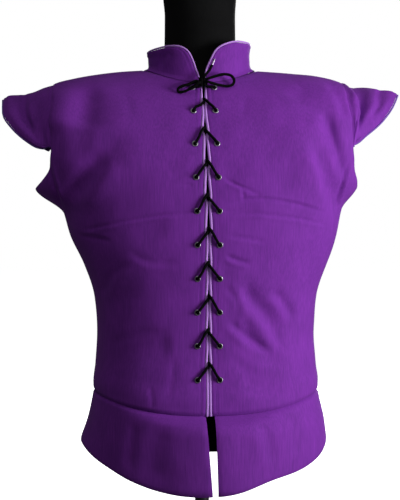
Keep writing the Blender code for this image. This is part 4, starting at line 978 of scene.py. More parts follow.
def fine_skirt_front(edge):
    """Half of the skirt's front: rows of angles from the slit's edge to the side seam."""
    shares = np.linspace(0.0, 1.0, SKIRT_GRID[1])
    start = angle_at_x(SKIRT_RINGS, shares, edge.hem_x + (edge.waist_x - edge.hem_x) * shares)
    end = math.pi / 2 - side_gap_angle(SKIRT_RINGS, shares, "front")
    angles = half_round(start, edge.side * end, np.linspace(0, 1, SKIRT_GRID[0]))[:, :: edge.side]
    return rounded_skirt(shares, angles)


def fine_skirt_back():
    """The skirt's back: rows of angles from side seam to side seam."""
    shares = np.linspace(0.0, 1.0, SKIRT_GRID[1])
    start = math.pi / 2 + side_gap_angle(SKIRT_RINGS, shares, "back")
    angles = signed(half_round(start, 2 * math.pi - start, np.linspace(0, 1, BACK_GRID[0])))
    return rounded_skirt(shares, angles)


def rounded_skirt(shares, angles):
    """A skirt panel whose edges round down, and whose top end leans as the body above it."""
    panel, facing = fine_panel(fine_skirt, skirt_surface, shares, angles, SKIRT_CLOTH)
    lean = normals(body_without_folds, np.zeros(angles.shape[1]), angles[-1])
    panel.inner[-1] = panel.outer[-1] - lean * SKIRT_CLOTH
    low, high, first, last = edge_distances(panel.outer)
    dip = bell(low, SEAM_DIP_WIDTH) + bell(first, SEAM_DIP_WIDTH) + bell(last, SEAM_DIP_WIDTH)
    return pressed(panel, facing, SEAM_DIP * dip + WAIST_DIP * bell(high, WAIST_DIP_WIDTH))


def fine_collar_angles(shares):
    """The collar's columns: each front's, which close up as the V opens, and the back's."""
    front_x = ring_value(COLLAR_RINGS, shares, "front_x")
    known = column(COLLAR_OPENING, "share")
    ends = []
    for side, name in ((1, "left"), (-1, "right")):
        half = smooth_value(shares, known, column(COLLAR_OPENING, name)) + PIPING_RADIUS + SEAM_GAP
        ends.append(angle_at_x(COLLAR_RINGS, shares, front_x + side * half))
    quarter = np.full(len(shares), math.pi / 2)
    front = np.linspace(0, 1, COLLAR_GRID[0])
    left = half_round(ends[0], quarter, front)[:, :-1]
    back = half_round(quarter, 3 * quarter, np.linspace(0, 1, COLLAR_GRID[1]))
    right = half_round(3 * quarter, 4 * quarter + ends[1], front)[:, 1:]
    return signed(np.concatenate([left, back, right], axis=1))


def fine_collar_panel():
    """The standing collar, from its lapped foot on the neckline to its piped edge."""
    shares = np.concatenate([[0.0], np.linspace(COLLAR_FIRST_ROW, 1.0, COLLAR_GRID[2])])
    angles = fine_collar_angles(shares)
    panel, facing = fine_panel(fine_collar, collar_surface, shares, angles, COLLAR_CLOTH)
    neckline = np.ones(angles.shape[1])
    inside = neckline - 10 * NORMAL_STEP
    edge = body_surface(neckline, angles[0])
    up = unit(edge - body_surface(inside, angles[0]))
    off = normals(body_surface, inside, angles[0]) * SEAM_GAP
    panel.outer[0] = edge - up * COLLAR_CLOTH + off
    panel.inner[0] = edge + off
    low, high, first, last = edge_distances(panel.outer)
    edges = np.minimum(high, np.minimum(first, last))
    dip = SLIT_DIP * bell(edges, SLIT_DIP_WIDTH)
    dip = dip + STITCH_DIP * bell(edges - COLLAR_TOPSTITCH, STITCH_DIP_WIDTH)
    dip = dip + STITCH_DIP * bell(low - COLLAR_FOOT_STITCH, STITCH_DIP_WIDTH)
    dip[0] = 0.0
    return pressed(panel, facing, dip)


def fine_wing_root(side):
    """The armhole's edge from a wing's front end over the shoulder's tip to its back end."""
    shares = np.linspace(WING_START_SHARE, TIP_SHARE, WING_GRID[0])
    front_angle = armhole_angle(shares, "front_angle") - side_gap_angle(BODY_RINGS, shares, "front")
    back_angle = math.pi - armhole_angle(shares, "back_angle") + side_gap_angle(BODY_RINGS, shares, "back")
    shares = np.concatenate([shares, shares[-2::-1]])
    angles = side * np.concatenate([front_angle, back_angle[-2::-1]])
    return body_surface(shares, angles), normals(body_surface, shares, angles)


def fine_wing(side):
    """A shoulder wing: straight lines from the armhole's edge to the drooping free edge, plus a swell along
    the armhole's facing, less its creases and the dips at its seam and stitches."""
    root, facing = fine_wing_root(side)
    count = WING_GRID[0]
    lengths = run_lengths(root)
    tip = lengths[count - 1]
    in_front = np.arange(len(root)) < count
    share = np.where(in_front, lengths / tip, (lengths[-1] - lengths) / (lengths[-1] - tip))
    names = ("left_x", "left_z") if side > 0 else ("right_x", "right_z")
    known = column(WING_EDGE, "share")
    x, z, forward = (smooth_value(share, known, column(WING_EDGE, name)) for name in (*names, "forward"))
    arch = np.sqrt(np.clip(np.sin(math.pi * share), 0.0, 1.0))
    z = z + np.where(in_front, 0.0, WING_BACK_RISE * arch)
    edge = np.stack([side * x, np.where(in_front, -forward, forward), z], axis=-1)
    place = np.where(in_front, 0.5 * share, 1.0 - 0.5 * share)
    if side < 0:
        root, facing, edge, share, place = root[::-1], facing[::-1], edge[::-1], share[::-1], place[::-1]
    away = away_from_edge(root, facing)
    root = root + away * SEAM_GAP
    full = smooth_step(0.0, WING_END_SHARE, share)[:, None]
    edge = edge * full + (root + away * WING_END_WIDTH) * (1.0 - full)
    across = np.linspace(0.0, 1.0, WING_GRID[1])[None, :, None]
    reach = np.linalg.norm(edge - root, axis=-1)[:, None, None] / WING_REACH
    swells = column(WING_SWELLS, "left" if side > 0 else "right")
    swell = smooth_value(across, column(WING_SWELLS, "across"), swells)
    outer = root[:, None, :] + (edge - root)[:, None, :] * across + swell * reach * facing[:, None, :]
    outward = unit(np.cross(np.gradient(outer, axis=1), np.gradient(outer, axis=0)))
    outward[:, 0] = facing
    outward[0], outward[-1] = facing[0], facing[-1]
    inner = outer - outward * WING_CLOTH
    out_share = np.broadcast_to(across[..., 0], outer.shape[:2])
    depth = crease_depth(WING_CREASES[side], np.broadcast_to(place[:, None], outer.shape[:2]), out_share)
    free = smooth_step(*WING_CREASE_FREE_OF_ROOT, out_share)
    free = free * (1.0 - smooth_step(*WING_CREASE_FREE_OF_EDGE, out_share))
    _, _, first, last = edge_distances(outer)
    dip = SEAM_DIP * bell(first, SEAM_DIP_WIDTH) + SLIT_DIP * bell(last, SLIT_DIP_WIDTH)
    dip = dip + STITCH_DIP * bell(last - WING_TOPSTITCH, STITCH_DIP_WIDTH)
    creased = outward * (depth * free)[..., None]
    return Panel(outer - creased - outward * dip[..., None], inner - creased), outward


def tube_rings(path, facing, radius, sides):
    """Rings round a path: at each point, the radius times the cosine across the run plus the sine along the
    facing."""
    run = unit(np.gradient(path, axis=0))
    across = unit(np.cross(run, np.broadcast_to(facing, path.shape)))
    up = np.cross(across, run)
    turn = np.linspace(0.0, 2 * np.pi, sides, endpoint=False)[None, :, None]
    radius = np.broadcast_to(radius, len(path))[:, None, None]
    return path[:, None] + radius * (np.cos(turn) * across[:, None] + np.sin(turn) * up[:, None])


def tube_faces(rows, sides, start=0, turned=False):
    """The quads of ring_walls, then a cap over the first ring and one over the last."""
    first = list(range(start, start + sides))
    last = [point + (rows - 1) * sides for point in first]
    caps = [first[::-1], last] if turned else [first, last[::-1]]
    return [*ring_walls(rows, sides, start, turned=turned).tolist(), *caps]


def tube_uv(path, sides):
    """Lengths along the path and round the tube, as the braid's UV."""
    lengths = run_lengths(path)[:, None]
    around = np.linspace(0.0, 1.0, sides, endpoint=False)[None, :] * CORD_GIRTH
    return np.stack(np.broadcast_arrays(lengths, around), axis=-1)


def tube_piece(name, path, facing, radius, sides, finish, slot, *nodes):
    """A dressed tube: rings round the path, walls and caps, and lengths as UV."""
    rings = tube_rings(path, facing, radius, sides)
    made = surface_mesh(name, rings, tube_faces(len(path), sides), tube_uv(path, sides), finish)
    return dress(made, slot, *nodes)


def even_line(path, spacing):
    """Points at an even spacing along a path."""
    lengths = run_lengths(path)
    at = np.linspace(0.0, lengths[-1], max(2, int(round(lengths[-1] / spacing)) + 1))
    return np.stack([np.interp(at, lengths, path[:, i]) for i in range(3)], axis=-1)


def corner_cut(path, times=2):
    """A path with its corners cut: each span keeps the points a quarter and three quarters of the way."""
    for _ in range(times):
        low = path[:-1] * 0.75 + path[1:] * 0.25
        high = path[:-1] * 0.25 + path[1:] * 0.75
        path = np.concatenate([path[:1], np.stack([low, high], axis=1).reshape(-1, 3), path[-1:]])
    return path


def stitch_row(path, facing):
    """Short thread capsules laid end to end along a path, as one array of points and its faces. Each has four
    rings: the girth times the cosine across and the sine up, with the end rings sunk into the cloth."""
    places = even_line(path, STITCH_PITCH)
    at = np.linspace(0, 1, len(places))
    known = np.linspace(0, 1, len(path))
    faces_up = unit(np.stack([np.interp(at, known, facing[:, i]) for i in range(3)], axis=-1))
    run = unit(np.gradient(places, axis=0))
    across = unit(np.cross(run, faces_up))
    up = np.cross(across, run)
    along, girth, sink = np.array(THREAD_RINGS).T[:, :, None]
    turn = np.linspace(0, 2 * np.pi, THREAD_SIDES, endpoint=False)
    girth = girth * THREAD_RADIUS
    rings = (along * STITCH_LENGTH, girth * np.cos(turn), girth * np.sin(turn) + sink * THREAD_RADIUS)
    template = np.stack(np.broadcast_arrays(*rings), axis=-1).reshape(-1, 3)
    frames = np.stack([run, across, up], axis=1)
    points = places[:, None] + np.einsum("tk,pkc->ptc", template, frames)
    faces = []
    for i in range(len(places)):
        faces += tube_faces(len(THREAD_RINGS), THREAD_SIDES, start=len(template) * i)
    return points.reshape(-1, 3), faces


def on_cloth(x, z, out):
    """Points off the body's front at the given x and z, and the way the cloth faces there."""
    share = share_at_front_z(z)
    angle = angle_at_x(BODY_RINGS, share, x)
    facing = normals(body_surface, share, angle)
    return body_surface(share, angle) + facing * np.asarray(out)[..., None], facing


def lace_line(first_side, lift):
    """Half of the lace, up through eyelets on alternate sides and in through the slit at each crossing."""
    heights, crossings = eyelet_heights(), crossing_heights()
    stations = [(front_centre_x(heights[0]) + first_side * 0.5 * SEAM_GAP, heights[0], LACE_BEHIND)]
    side = first_side
    for i, height in enumerate(heights):
        x = front_centre_x(height) + side * EYELET_SIDE
        for station in THROUGH_EYELET:
            stations.append((x + side * station.side_x, height + station.above, station.out))
        if i == len(crossings):
            break
        stations.append((x + side * OFF_EYELET.side_x, height + OFF_EYELET.above, OFF_EYELET.out))
        for station in STITCH:
            x = front_centre_x(crossings[i]) + side * station.side_x
            stations.append((x, crossings[i] + lift + station.above, station.out))
        side = -side
    x, z, out = np.array([[float(value) for value in station] for station in stations]).T
    points, _ = on_cloth(x, z, out)
    return np.concatenate([points, knot_ends(LACE_TO_KNOT[side])[::-1]])


def finish_material(name):
    """A new material, its nodes, its links and its shader."""
    made = bpy.data.materials.new(name)
    made.use_nodes = True
    return made, made.node_tree.nodes, made.node_tree.links, made.node_tree.nodes["Principled BSDF"]


def add_node(nodes, kind, **values):
    """A shader node, with sockets set by their names' words and properties by their own names."""
    made = nodes.new(kind)
    for key, value in values.items():
        socket = key.replace("_", " ").title()
        if socket in made.inputs:
            made.inputs[socket].default_value = value
        else:
            setattr(made, key, value)
    return made


def texture(nodes, links, kind, source, scale, **values):
    """A noise or wave texture over the UV or Object coordinates, each axis times its own scale."""
    made = add_node(nodes, f"ShaderNodeTex{kind}", scale=1.0, **values)
    place = nodes.new("ShaderNodeTexCoord")
    mapping = nodes.new("ShaderNodeMapping")
    mapping.inputs["Scale"].default_value = scale
    links.new(place.outputs[source], mapping.inputs["Vector"])
    links.new(mapping.outputs["Vector"], made.inputs["Vector"])
    return made


def set_sockets(node, **values):
    """Each socket, named with underlines for spaces, takes its value."""
    for name, value in values.items():
        node.inputs[name.replace("_", " ")].default_value = value


def ramp(nodes, links, value, stops):
    """A value turned into a colour by (place, colour) stops."""
    made = nodes.new("ShaderNodeValToRGB")
    elements = made.color_ramp.elements
    while len(elements) < len(stops):
        elements.new(0.5)
    for element, (place, colour) in zip(elements, stops):
        element.position = place
        element.color = (*colour, 1.0)
    links.new(value, made.inputs["Fac"])
    return made.outputs["Color"]


def bump(nodes, links, height, strength, distance, below=None):
    """A height as bump of a strength and a distance in metres, over another bump where one is given."""
    made = nodes.new("ShaderNodeBump")
    made.inputs["Strength"].default_value = strength
    made.inputs["Distance"].default_value = distance
    links.new(height, made.inputs["Height"])
    if below is not None:
        links.new(below, made.inputs["Normal"])
    return made.outputs["Normal"]


def mixed(nodes, links, kind, low, high, factor=None, share=0.5):
    """Two colours mixed in a named way by a share."""
    made = nodes.new("ShaderNodeMix")
    made.data_type = "RGBA"
    made.blend_type = kind
    made.inputs["Factor"].default_value = share
    if factor is not None:
        links.new(factor, made.inputs["Factor"])
    links.new(low, made.inputs["A"])
    links.new(high, made.inputs["B"])
    return made.outputs["Result"]


CLOTH_DARK = (0.130, 0.0118, 0.256)
CLOTH_MIDDLE = (0.155, 0.0150, 0.295)
CLOTH_LIGHT = (0.188, 0.0208, 0.344)
CLOTH_SHEEN = (0.50, 0.22, 0.70)
# Painted shade: the factor that darkens the piping far out on the wings
WING_PIPING_PAINTED_SHADE = (0.35, 0.30, 0.55)
SLIT_PIPING_RADIUS = 0.0023
SLIT_PIPING_TAPER = 0.03
TOUCH_GAP = 0.0001
WEAVE_THREAD = 0.00085
# Texture scales: the slubs run upright, the mottling is slow, and the weave wanders along its threads
SLUB_SCALE = (460.0, 460.0, 30.0)
MOTTLE_SCALE = (38.0, 38.0, 22.0)
MOTTLE_SHADES = ((0.30, (0.92, 0.91, 0.93)), (0.72, (1.06, 1.06, 1.05)))
WEAVE_DRIFT = 60.0
# The piping's painted shade comes in between these distances of |x| from the middle
WING_PIPING_SHADE_RAMP = ((0.11, (1.0, 1.0, 1.0)), (0.15, WING_PIPING_PAINTED_SHADE))
JERSEY_SHADES = ((0.3, (0.0012, 0.0012, 0.0014)), (0.7, (0.0045, 0.0045, 0.0050)))
FLOOR_SHADES = ((0.0, (0.90, 0.90, 0.90)), (1.0, (0.93, 0.93, 0.93)))

# A cord's colours, roughness and sheen, the braid's scale and the strength of its bump
CordLook = namedtuple("CordLook", "dark light roughness sheen turns strength")
LILAC_CORD = CordLook((0.30, 0.12, 0.52), (0.54, 0.27, 0.76), 0.50, 0.20, 300.0, 0.25)
BLACK_LACE = CordLook((0.0004, 0.0004, 0.0005), (0.0022, 0.0021, 0.0026), 0.90, 0.0, 420.0, 0.6)
PURPLE_THREAD = CordLook((0.07, 0.012, 0.16), (0.17, 0.04, 0.33), 0.6, 0.2, 500.0, 0.3)
# A metal's colours, its least and greatest roughness, and how metallic it is
MetalLook = namedtuple("MetalLook", "dark light low high metallic")
LACE_TIP = MetalLook((0.30, 0.23, 0.36), (0.52, 0.44, 0.58), 0.30, 0.45, 1.0)
NICKEL = MetalLook((0.26, 0.26, 0.28), (0.50, 0.50, 0.52), 0.32, 0.48, 1.0)
BLACK_PAINT = MetalLook((0.012, 0.012, 0.014), (0.022, 0.022, 0.025), 0.32, 0.50, 0.0)


def purple_cloth():
    """A plain cotton: slubbed vertical threads over a soft mottling, with a fine warp and weft as bump."""
    made, nodes, links, shader = finish_material("purple cotton")
    slub = texture(nodes, links, "Noise", "Object", SLUB_SCALE, detail=3.0, roughness=0.62)
    mottle = texture(nodes, links, "Noise", "Object", MOTTLE_SCALE, detail=2.0, roughness=0.5)
    tones = ((0.30, CLOTH_DARK), (0.52, CLOTH_MIDDLE), (0.74, CLOTH_LIGHT))
    threads = ramp(nodes, links, slub.outputs["Fac"], tones)
    patches = ramp(nodes, links, mottle.outputs["Fac"], MOTTLE_SHADES)
    colour = mixed(nodes, links, "MULTIPLY", threads, patches, share=1.0)
    links.new(colour, shader.inputs["Base Color"])
    pitch = 1 / WEAVE_THREAD / 6.28
    warp, weft = (
        texture(nodes, links, "Wave", "UV", scale, distortion=0.6, detail=1.0, bands_direction=way)
        for way, scale in (("X", (pitch, WEAVE_DRIFT, 1.0)), ("Y", (WEAVE_DRIFT, pitch, 1.0)))
    )
    weave = mixed(nodes, links, "MULTIPLY", warp.outputs["Color"], weft.outputs["Color"], share=0.6)
    rough = bump(nodes, links, slub.outputs["Fac"], 0.28, 0.0005)
    links.new(bump(nodes, links, weave, 0.25, 0.0003, rough), shader.inputs["Normal"])
    set_sockets(shader, Roughness=0.86, Specular_IOR_Level=0.35, Sheen_Weight=0.10, Sheen_Roughness=0.5)
    set_sockets(shader, Sheen_Tint=(*CLOTH_SHEEN, 1.0))
    return made


def cord_material(name, look):
    """A round cord: two sets of slanting ridges that cross, from the lengths along and round it."""
    made, nodes, links, shader = finish_material(name)
    wave = {"distortion": 0.3, "bands_direction": "DIAGONAL"}
    one, other = (
        texture(nodes, links, "Wave", "UV", (look.turns, slant, 1.0), **wave)
        for slant in (look.turns * 0.8, -look.turns * 0.8)
    )
    braid = mixed(nodes, links, "LIGHTEN", one.outputs["Color"], other.outputs["Color"], share=1.0)
    links.new(ramp(nodes, links, braid, ((0.1, look.dark), (0.95, look.light))), shader.inputs["Base Color"])
    links.new(bump(nodes, links, braid, look.strength, 0.0004), shader.inputs["Normal"])
    set_sockets(shader, Roughness=look.roughness, Specular_IOR_Level=0.08, Sheen_Roughness=0.4)
    set_sockets(shader, Sheen_Weight=look.sheen)
    return made


def lilac_piping():
    """The trim's cord: lilac at the slit and the collar, darkened by painted shade where it is far from the
    middle.
    """
    made = cord_material("lilac piping", LILAC_CORD)
    nodes, links = made.node_tree.nodes, made.node_tree.links
    base = next(node for node in nodes if node.type == "BSDF_PRINCIPLED").inputs["Base Color"]
    lilac = base.links[0].from_socket
    place = add_node(nodes, "ShaderNodeSeparateXYZ")
    links.new(add_node(nodes, "ShaderNodeTexCoord").outputs["Object"], place.inputs["Vector"])
    away = add_node(nodes, "ShaderNodeMath", operation="ABSOLUTE")
    links.new(place.outputs["X"], away.inputs[0])
    # Painted shade: the piping darkens to a deeper violet far out on the wings
    painted_shade = ramp(nodes, links, away.outputs["Value"], WING_PIPING_SHADE_RAMP)
    links.new(mixed(nodes, links, "MULTIPLY", lilac, painted_shade, share=1.0), base)
    return made


def worn_metal(name, look):
    """Bright metal with fine scuffs, which vary its colour and its roughness."""
    made, nodes, links, shader = finish_material(name)
    scuffs = texture(nodes, links, "Noise", "Object", (900.0, 900.0, 900.0), detail=4.0, roughness=0.6)
    shades = ramp(nodes, links, scuffs.outputs["Fac"], ((0.35, look.dark), (0.65, look.light)))
    links.new(shades, shader.inputs["Base Color"])
    spread = add_node(nodes, "ShaderNodeMapRange")
    set_sockets(spread, To_Min=look.low, To_Max=look.high)
    links.new(scuffs.outputs["Fac"], spread.inputs["Value"])
    links.new(spread.outputs["Result"], shader.inputs["Roughness"])
    links.new(bump(nodes, links, scuffs.outputs["Fac"], 0.15, 0.0001), shader.inputs["Normal"])
    set_sockets(shader, Metallic=look.metallic)
    return made


def form_cover():
    """Black jersey: fine upright ribs over a soft mottling."""
    made, nodes, links, shader = finish_material("black jersey")
    ribs = texture(nodes, links, "Noise", "Object", (1100.0, 1100.0, 160.0), detail=2.0, roughness=0.5)
    cloud = texture(nodes, links, "Noise", "Object", (24.0, 24.0, 24.0), detail=2.0, roughness=0.5)
    colour = mixed(nodes, links, "MIX", ribs.outputs["Fac"], cloud.outputs["Fac"], share=0.5)
    links.new(ramp(nodes, links, colour, JERSEY_SHADES), shader.inputs["Base Color"])
    links.new(bump(nodes, links, ribs.outputs["Fac"], 0.3, 0.0004), shader.inputs["Normal"])
    set_sockets(shader, Roughness=0.85, Specular_IOR_Level=0.10)
    return made


def stage_material():
    """A pale floor with a faint grain, which also glows so that it reads as white."""
    made, nodes, links, shader = finish_material("pale floor")
    grain = texture(nodes, links, "Noise", "Object", (3.0, 3.0, 3.0), detail=2.0)
    links.new(ramp(nodes, links, grain.outputs["Fac"], FLOOR_SHADES), shader.inputs["Base Color"])
    set_sockets(shader, Roughness=0.9, Emission_Color=(1.0, 1.0, 1.0, 1.0), Emission_Strength=0.93)
    return made


def add_garment(cloth):
    """The nine cloth pieces."""
    fronts = {side: fine_front(side) for side in (1, -1)}
    made = {}
    for side, name in ((1, "front_left"), (-1, "front_right")):
        made[side] = cloth_piece(name + "_cloth", fronts[side], cloth, name)
    cloth_piece("back_cloth", fine_back(), cloth, "back")
    for edge in SKIRT_SLIT:
        name = "skirt_left" if edge.side > 0 else "skirt_right"
        cloth_piece(name + "_cloth", fine_skirt_front(edge), cloth, name)
    cloth_piece("skirt_back_cloth", fine_skirt_back(), cloth, "skirt_back")
    collar = fine_collar_panel()
    cloth_piece("collar_cloth", collar, cloth, "collar")
    wings = {}
    for side, name in ((1, "wing_left"), (-1, "wing_right")):
        wings[side], _ = fine_wing(side)
        cloth_piece(name + "_cloth", wings[side], cloth, name)
    return fronts, made, collar, wings


def piping_lines(fronts, collar, wings):
    """Each piping's path just off its edge, the way the cloth faces there, and the edge's own points."""
    rows, columns = collar.outer.shape[:2]
    last_row = len(fronts[1].outer) - 1
    steps = {
        "front_left": (fronts[1], [(i, 0) for i in range(last_row - 1, -1, -1)]),
        "front_right": (fronts[-1], [(i, -1) for i in range(last_row)]),
        "collar": (
            collar,
            [(i, columns - 1) for i in range(1, rows)]
            + [(rows - 1, j) for j in range(columns - 2, 0, -1)]
            + [(i, 0) for i in range(rows - 1, 0, -1)],
        ),
        "wing_left": (wings[1], [(i, -1) for i in range(len(wings[1].outer))]),
        "wing_right": (wings[-1], [(i, -1) for i in range(len(wings[-1].outer))]),
    }
    lines = {}
    for name, (panel, way) in steps.items():
        outer = np.array([panel.outer[step] for step in way])
        inner = np.array([panel.inner[step] for step in way])
        facing = unit(outer - inner)
        facing[0], facing[-1] = facing[1], facing[-2]
        away = away_from_edge(outer, facing)
        gap = WING_PIPING_GAP if name.startswith("wing") else SEAM_GAP
        path = (outer + inner) / 2 + unit(away) * (PIPING_RADIUS + gap)
        lines[name] = (path, facing, outer, unit(away))
    return lines


def pressed_together(mine, other, side):
    """A slit's piping plumped up: its middle moves in as its radius grows, until the two sides touch."""
    order = np.argsort(other[:, 2])
    middle = (mine[:, 0] + np.interp(mine[:, 2], other[order, 2], other[order, 0])) / 2
    rise = np.clip((mine[:, 2].max() - mine[:, 2]) / SLIT_PIPING_TAPER, 0.0, 1.0)
    radius = PIPING_RADIUS + (SLIT_PIPING_RADIUS - PIPING_RADIUS) * smooth_step(0.0, 1.0, rise)
    away = np.maximum(side * (mine[:, 0] - middle) - (radius - PIPING_RADIUS), radius + TOUCH_GAP)
    path = mine.copy()
    path[:, 0] = middle + side * away
    return path, radius


def add_piping(lines, lilac):
    """Each piping as a round tube along its line; the two at the slit are plumper and nearly touch."""
    for name, (path, facing, _, _) in lines.items():
        radius = PIPING_RADIUS
        if name == "front_left":
            path, radius = pressed_together(path, lines["front_right"][0], 1)
        elif name == "front_right":
            path, radius = pressed_together(path, lines["front_left"][0], -1)
        piece = f"piping_{name}"
        tube_piece(piece + "_cord", path, facing, radius, PIPING_SIDES, lilac, "lilac_piping", piece)


def add_topstitching(lines, thread):
    """Rows of thread beside the piping, joined into one piece for each row."""
    insets = {"collar": COLLAR_TOPSTITCH, "wing_left": WING_TOPSTITCH, "wing_right": WING_TOPSTITCH}
    for name, (_, facing, outer, away) in lines.items():
        if name in insets:
            path = outer - away * insets[name] - facing * STITCH_DIP * 0.6
            keep = slice(6, -6)
            path, up = path[keep], facing[keep]
        else:
            side = 1 if name == "front_left" else -1
            z = np.linspace(BODY_RINGS[0].front_z + 0.003, EYELET_TOP_Z + 0.006, 400)
            x = slit_edge_x(z, side) + side * TOPSTITCH_INSET
            path, up = on_cloth(x, z, -0.6 * STITCH_DIP)
        points, faces = stitch_row(path, up)
        uv = points[:, [0, 2]]
        dress(surface_mesh(f"topstitch_{name}", points, faces, uv, thread), "purple_cloth")


# An eyelet's section, as radius and height off the cloth
EYELET_PROFILE = (
    (0.0031, 0.0006), (0.0033, 0.0012), (0.0038, 0.0016), (0.0044, 0.0015), (0.0048, 0.0011),
    (0.0050, 0.0005), (0.0048, 0.0002), (0.0037, 0.0003), (0.0037, -0.0040), (0.0034, -0.0044),
    (0.0031, -0.0040),
)
EYELET_SHARP_ANGLE = math.radians(70)
EYELET_CUTTER_SIDES = 20
EYELET_CUTTER_CLEAR = 0.0002


def add_eyelets(cloth_pieces, nickel):
    """Eyelets with rolled rims, each a closed profile turned about the cloth's facing, and the round holes cut
    for them in the two fronts."""
    turn = np.linspace(0.0, 2 * np.pi, EYELET_TURNS, endpoint=False)
    profile = np.array(EYELET_PROFILE)
    for side, name in ((1, "left"), (-1, "right")):
        cutter = bpy.data.meshes.new(f"eyelet cutter {name}")
        shape = bmesh.new()
        for i, height in enumerate(eyelet_heights()):
            x = front_centre_x(height) + side * EYELET_SIDE
            place, facing = on_cloth(np.array([float(x)]), np.array([height]), 0.0)
            place, facing = place[0], facing[0]
            across = unit(np.cross(facing, [0.0, 0.0, 1.0]))
            up = np.cross(facing, across)
            ring = np.cos(turn)[:, None] * across + np.sin(turn)[:, None] * up
            points = place + profile[:, 0, None, None] * ring[None] + profile[:, 1, None, None] * facing
            faces = ring_walls(len(profile), len(turn), closed=True)
            uv = points.reshape(-1, 3)[:, [0, 2]]
            node = f"eyelet_{name}_{i + 1}"
            made = surface_mesh(node + "_rim", points, faces, uv, nickel, EYELET_SHARP_ANGLE)
            dress(made, "nickel_eyelet", node)
            matrix = Vector(facing).to_track_quat("Z", "Y").to_matrix().to_4x4()
            matrix.translation = Vector(place)
            bmesh.ops.create_cone(
                shape,
                cap_ends=True,
                segments=EYELET_CUTTER_SIDES,
                radius1=EYELET_BARREL + EYELET_CUTTER_CLEAR,
                radius2=EYELET_BARREL + EYELET_CUTTER_CLEAR,
                depth=EYELET_CUTTER_DEPTH,
                matrix=matrix,
            )
        shape.to_mesh(cutter)
        shape.free()
        tool = bpy.data.objects.new(f"eyelet cutter {name}", cutter)
        bpy.context.scene.collection.objects.link(tool)
        cut = cloth_pieces[side].modifiers.new("eyelet holes", "BOOLEAN")
        cut.object = tool
        cut.operation = "DIFFERENCE"
        cut.solver = "EXACT"
        apply_modifiers(cloth_pieces[side])
        bpy.data.objects.remove(tool)


def apply_modifiers(piece):
    """The piece's mesh with its modifiers worked in."""
    shown = bpy.context.evaluated_depsgraph_get()
    mesh = bpy.data.meshes.new_from_object(piece.evaluated_get(shown))
    old = piece.data
    piece.modifiers.clear()
    piece.data = mesh
    bpy.data.meshes.remove(old)


def add_laces(black):
    """The lace's two halves: tubes along their stations, with the corners cut and even spacing."""
    for name, side, lift in (("lace_a", 1, CROSSING_APART), ("lace_b", -1, -CROSSING_APART)):
        path = even_line(corner_cut(lace_line(side, lift)), LACE_STEP)
        tube_piece(name + "_cord", path, LACE_ACROSS, LACE_RADIUS, LACE_SIDES, black, "black_lace", name)


def add_knot(black):
    """The knot: four closed rings of cord. Each is an ellipse about the knot's middle, its depth times the
    cosine and its height times the sine, set off to the side and leaning."""
    centre = np.array(KNOT_CENTRE)
    turn = np.linspace(0.0, 2 * np.pi, KNOT_TURNS, endpoint=False)
    girth = np.linspace(0.0, 2 * np.pi, KNOT_SIDES, endpoint=False)[None, :, None]
    lengths = np.linspace(0.0, KNOT_WRAP_LENGTH, KNOT_TURNS)[:, None]
    around = np.linspace(0, CORD_GIRTH, KNOT_SIDES)[None, :]
    uv = np.stack(np.broadcast_arrays(lengths, around), axis=-1).reshape(-1, 2)
    points, faces = [], []
    for wrap in KNOT_WRAPS:
        sideways = wrap.off + wrap.lean * wrap.height * np.sin(turn)
        ellipse = [sideways, wrap.depth * np.cos(turn), wrap.height * np.sin(turn)]
        path = centre + np.stack(ellipse, axis=-1)
        closed = np.concatenate([path[-1:], path, path[:1]])
        run = unit((closed[2:] - closed[:-2]))
        across = np.broadcast_to(unit(np.array([1.0, 0.0, wrap.lean])), run.shape)
        up = unit(np.cross(across, run))
        rings = path[:, None] + wrap.radius * (np.cos(girth) * across[:, None] + np.sin(girth) * up[:, None])
        start = len(points) * KNOT_TURNS * KNOT_SIDES
        faces += ring_walls(KNOT_TURNS, KNOT_SIDES, start, closed=True, turned=True).tolist()
        points.append(rings.reshape(-1, 3))
    uvs = np.concatenate([uv] * len(KNOT_WRAPS))
    piece = surface_mesh("lace_knot_wraps", np.concatenate(points), faces, uvs, black)
    dress(piece, "black_lace", "lace_knot")


def add_bow(black, tip_metal):
    """Two loops and two free ends, each a cord from the knot, and the ends' rolled tips."""
    loops = (("bow_loop_left", LEFT_LOOP, LEFT_LOOP_KNOT), ("bow_loop_right", RIGHT_LOOP, RIGHT_LOOP_KNOT))
    for name, strand, ways in loops:
        route = smooth_strand([*knot_ends(ways[0]), *strand, *knot_ends(ways[1])[::-1]], BOW_SPANS)
        path = even_line(route, BOW_STEP)
        shape = (path, BOW_FACING, LACE_RADIUS, LACE_SIDES)
        piece = tube_piece(name + "_cord", *shape, black, "black_lace", name)
    ends = (
        ("lace_end_upper", "aglet_upper", UPPER_END_KNOT, UPPER_END, UPPER_AGLET_TIP),
        ("lace_end_lower", "aglet_lower", LOWER_END_KNOT, LOWER_END, LOWER_AGLET_TIP),
    )
    for name, aglet, way, strand, tip in ends:
        last, tip = np.array(strand[-1]), np.array(tip)
        between, inside = (last + (tip - last) * share for share in INSIDE_TIP)
        route = smooth_strand([*knot_ends(way), *strand], BOW_SPANS)
        path = even_line(np.concatenate([route, [between, inside]]), BOW_STEP)
        covered = np.linalg.norm(path - last, axis=1) < np.linalg.norm(inside - last)
        covered = (path @ (tip - last) > last @ (tip - last)) & covered
        radius = np.where(covered, LACE_RADIUS * THIN_IN_TIP, LACE_RADIUS)
        piece = tube_piece(name + "_cord", path, BOW_FACING, radius, LACE_SIDES, black, "black_lace", name)
        share, girth = np.array(TIP_SLEEVE).T
        girth = girth * AGLET_RADIUS
        sleeve = last + unit(tip - last) * SEAM_GAP + (tip - last) * share[:, None] * TIP_SLEEVE_LENGTH
        shape = (sleeve, BOW_FACING, girth, TIP_SIDES)
        cap = tube_piece(aglet + "_sleeve", *shape, tip_metal, "lace_tip", aglet)


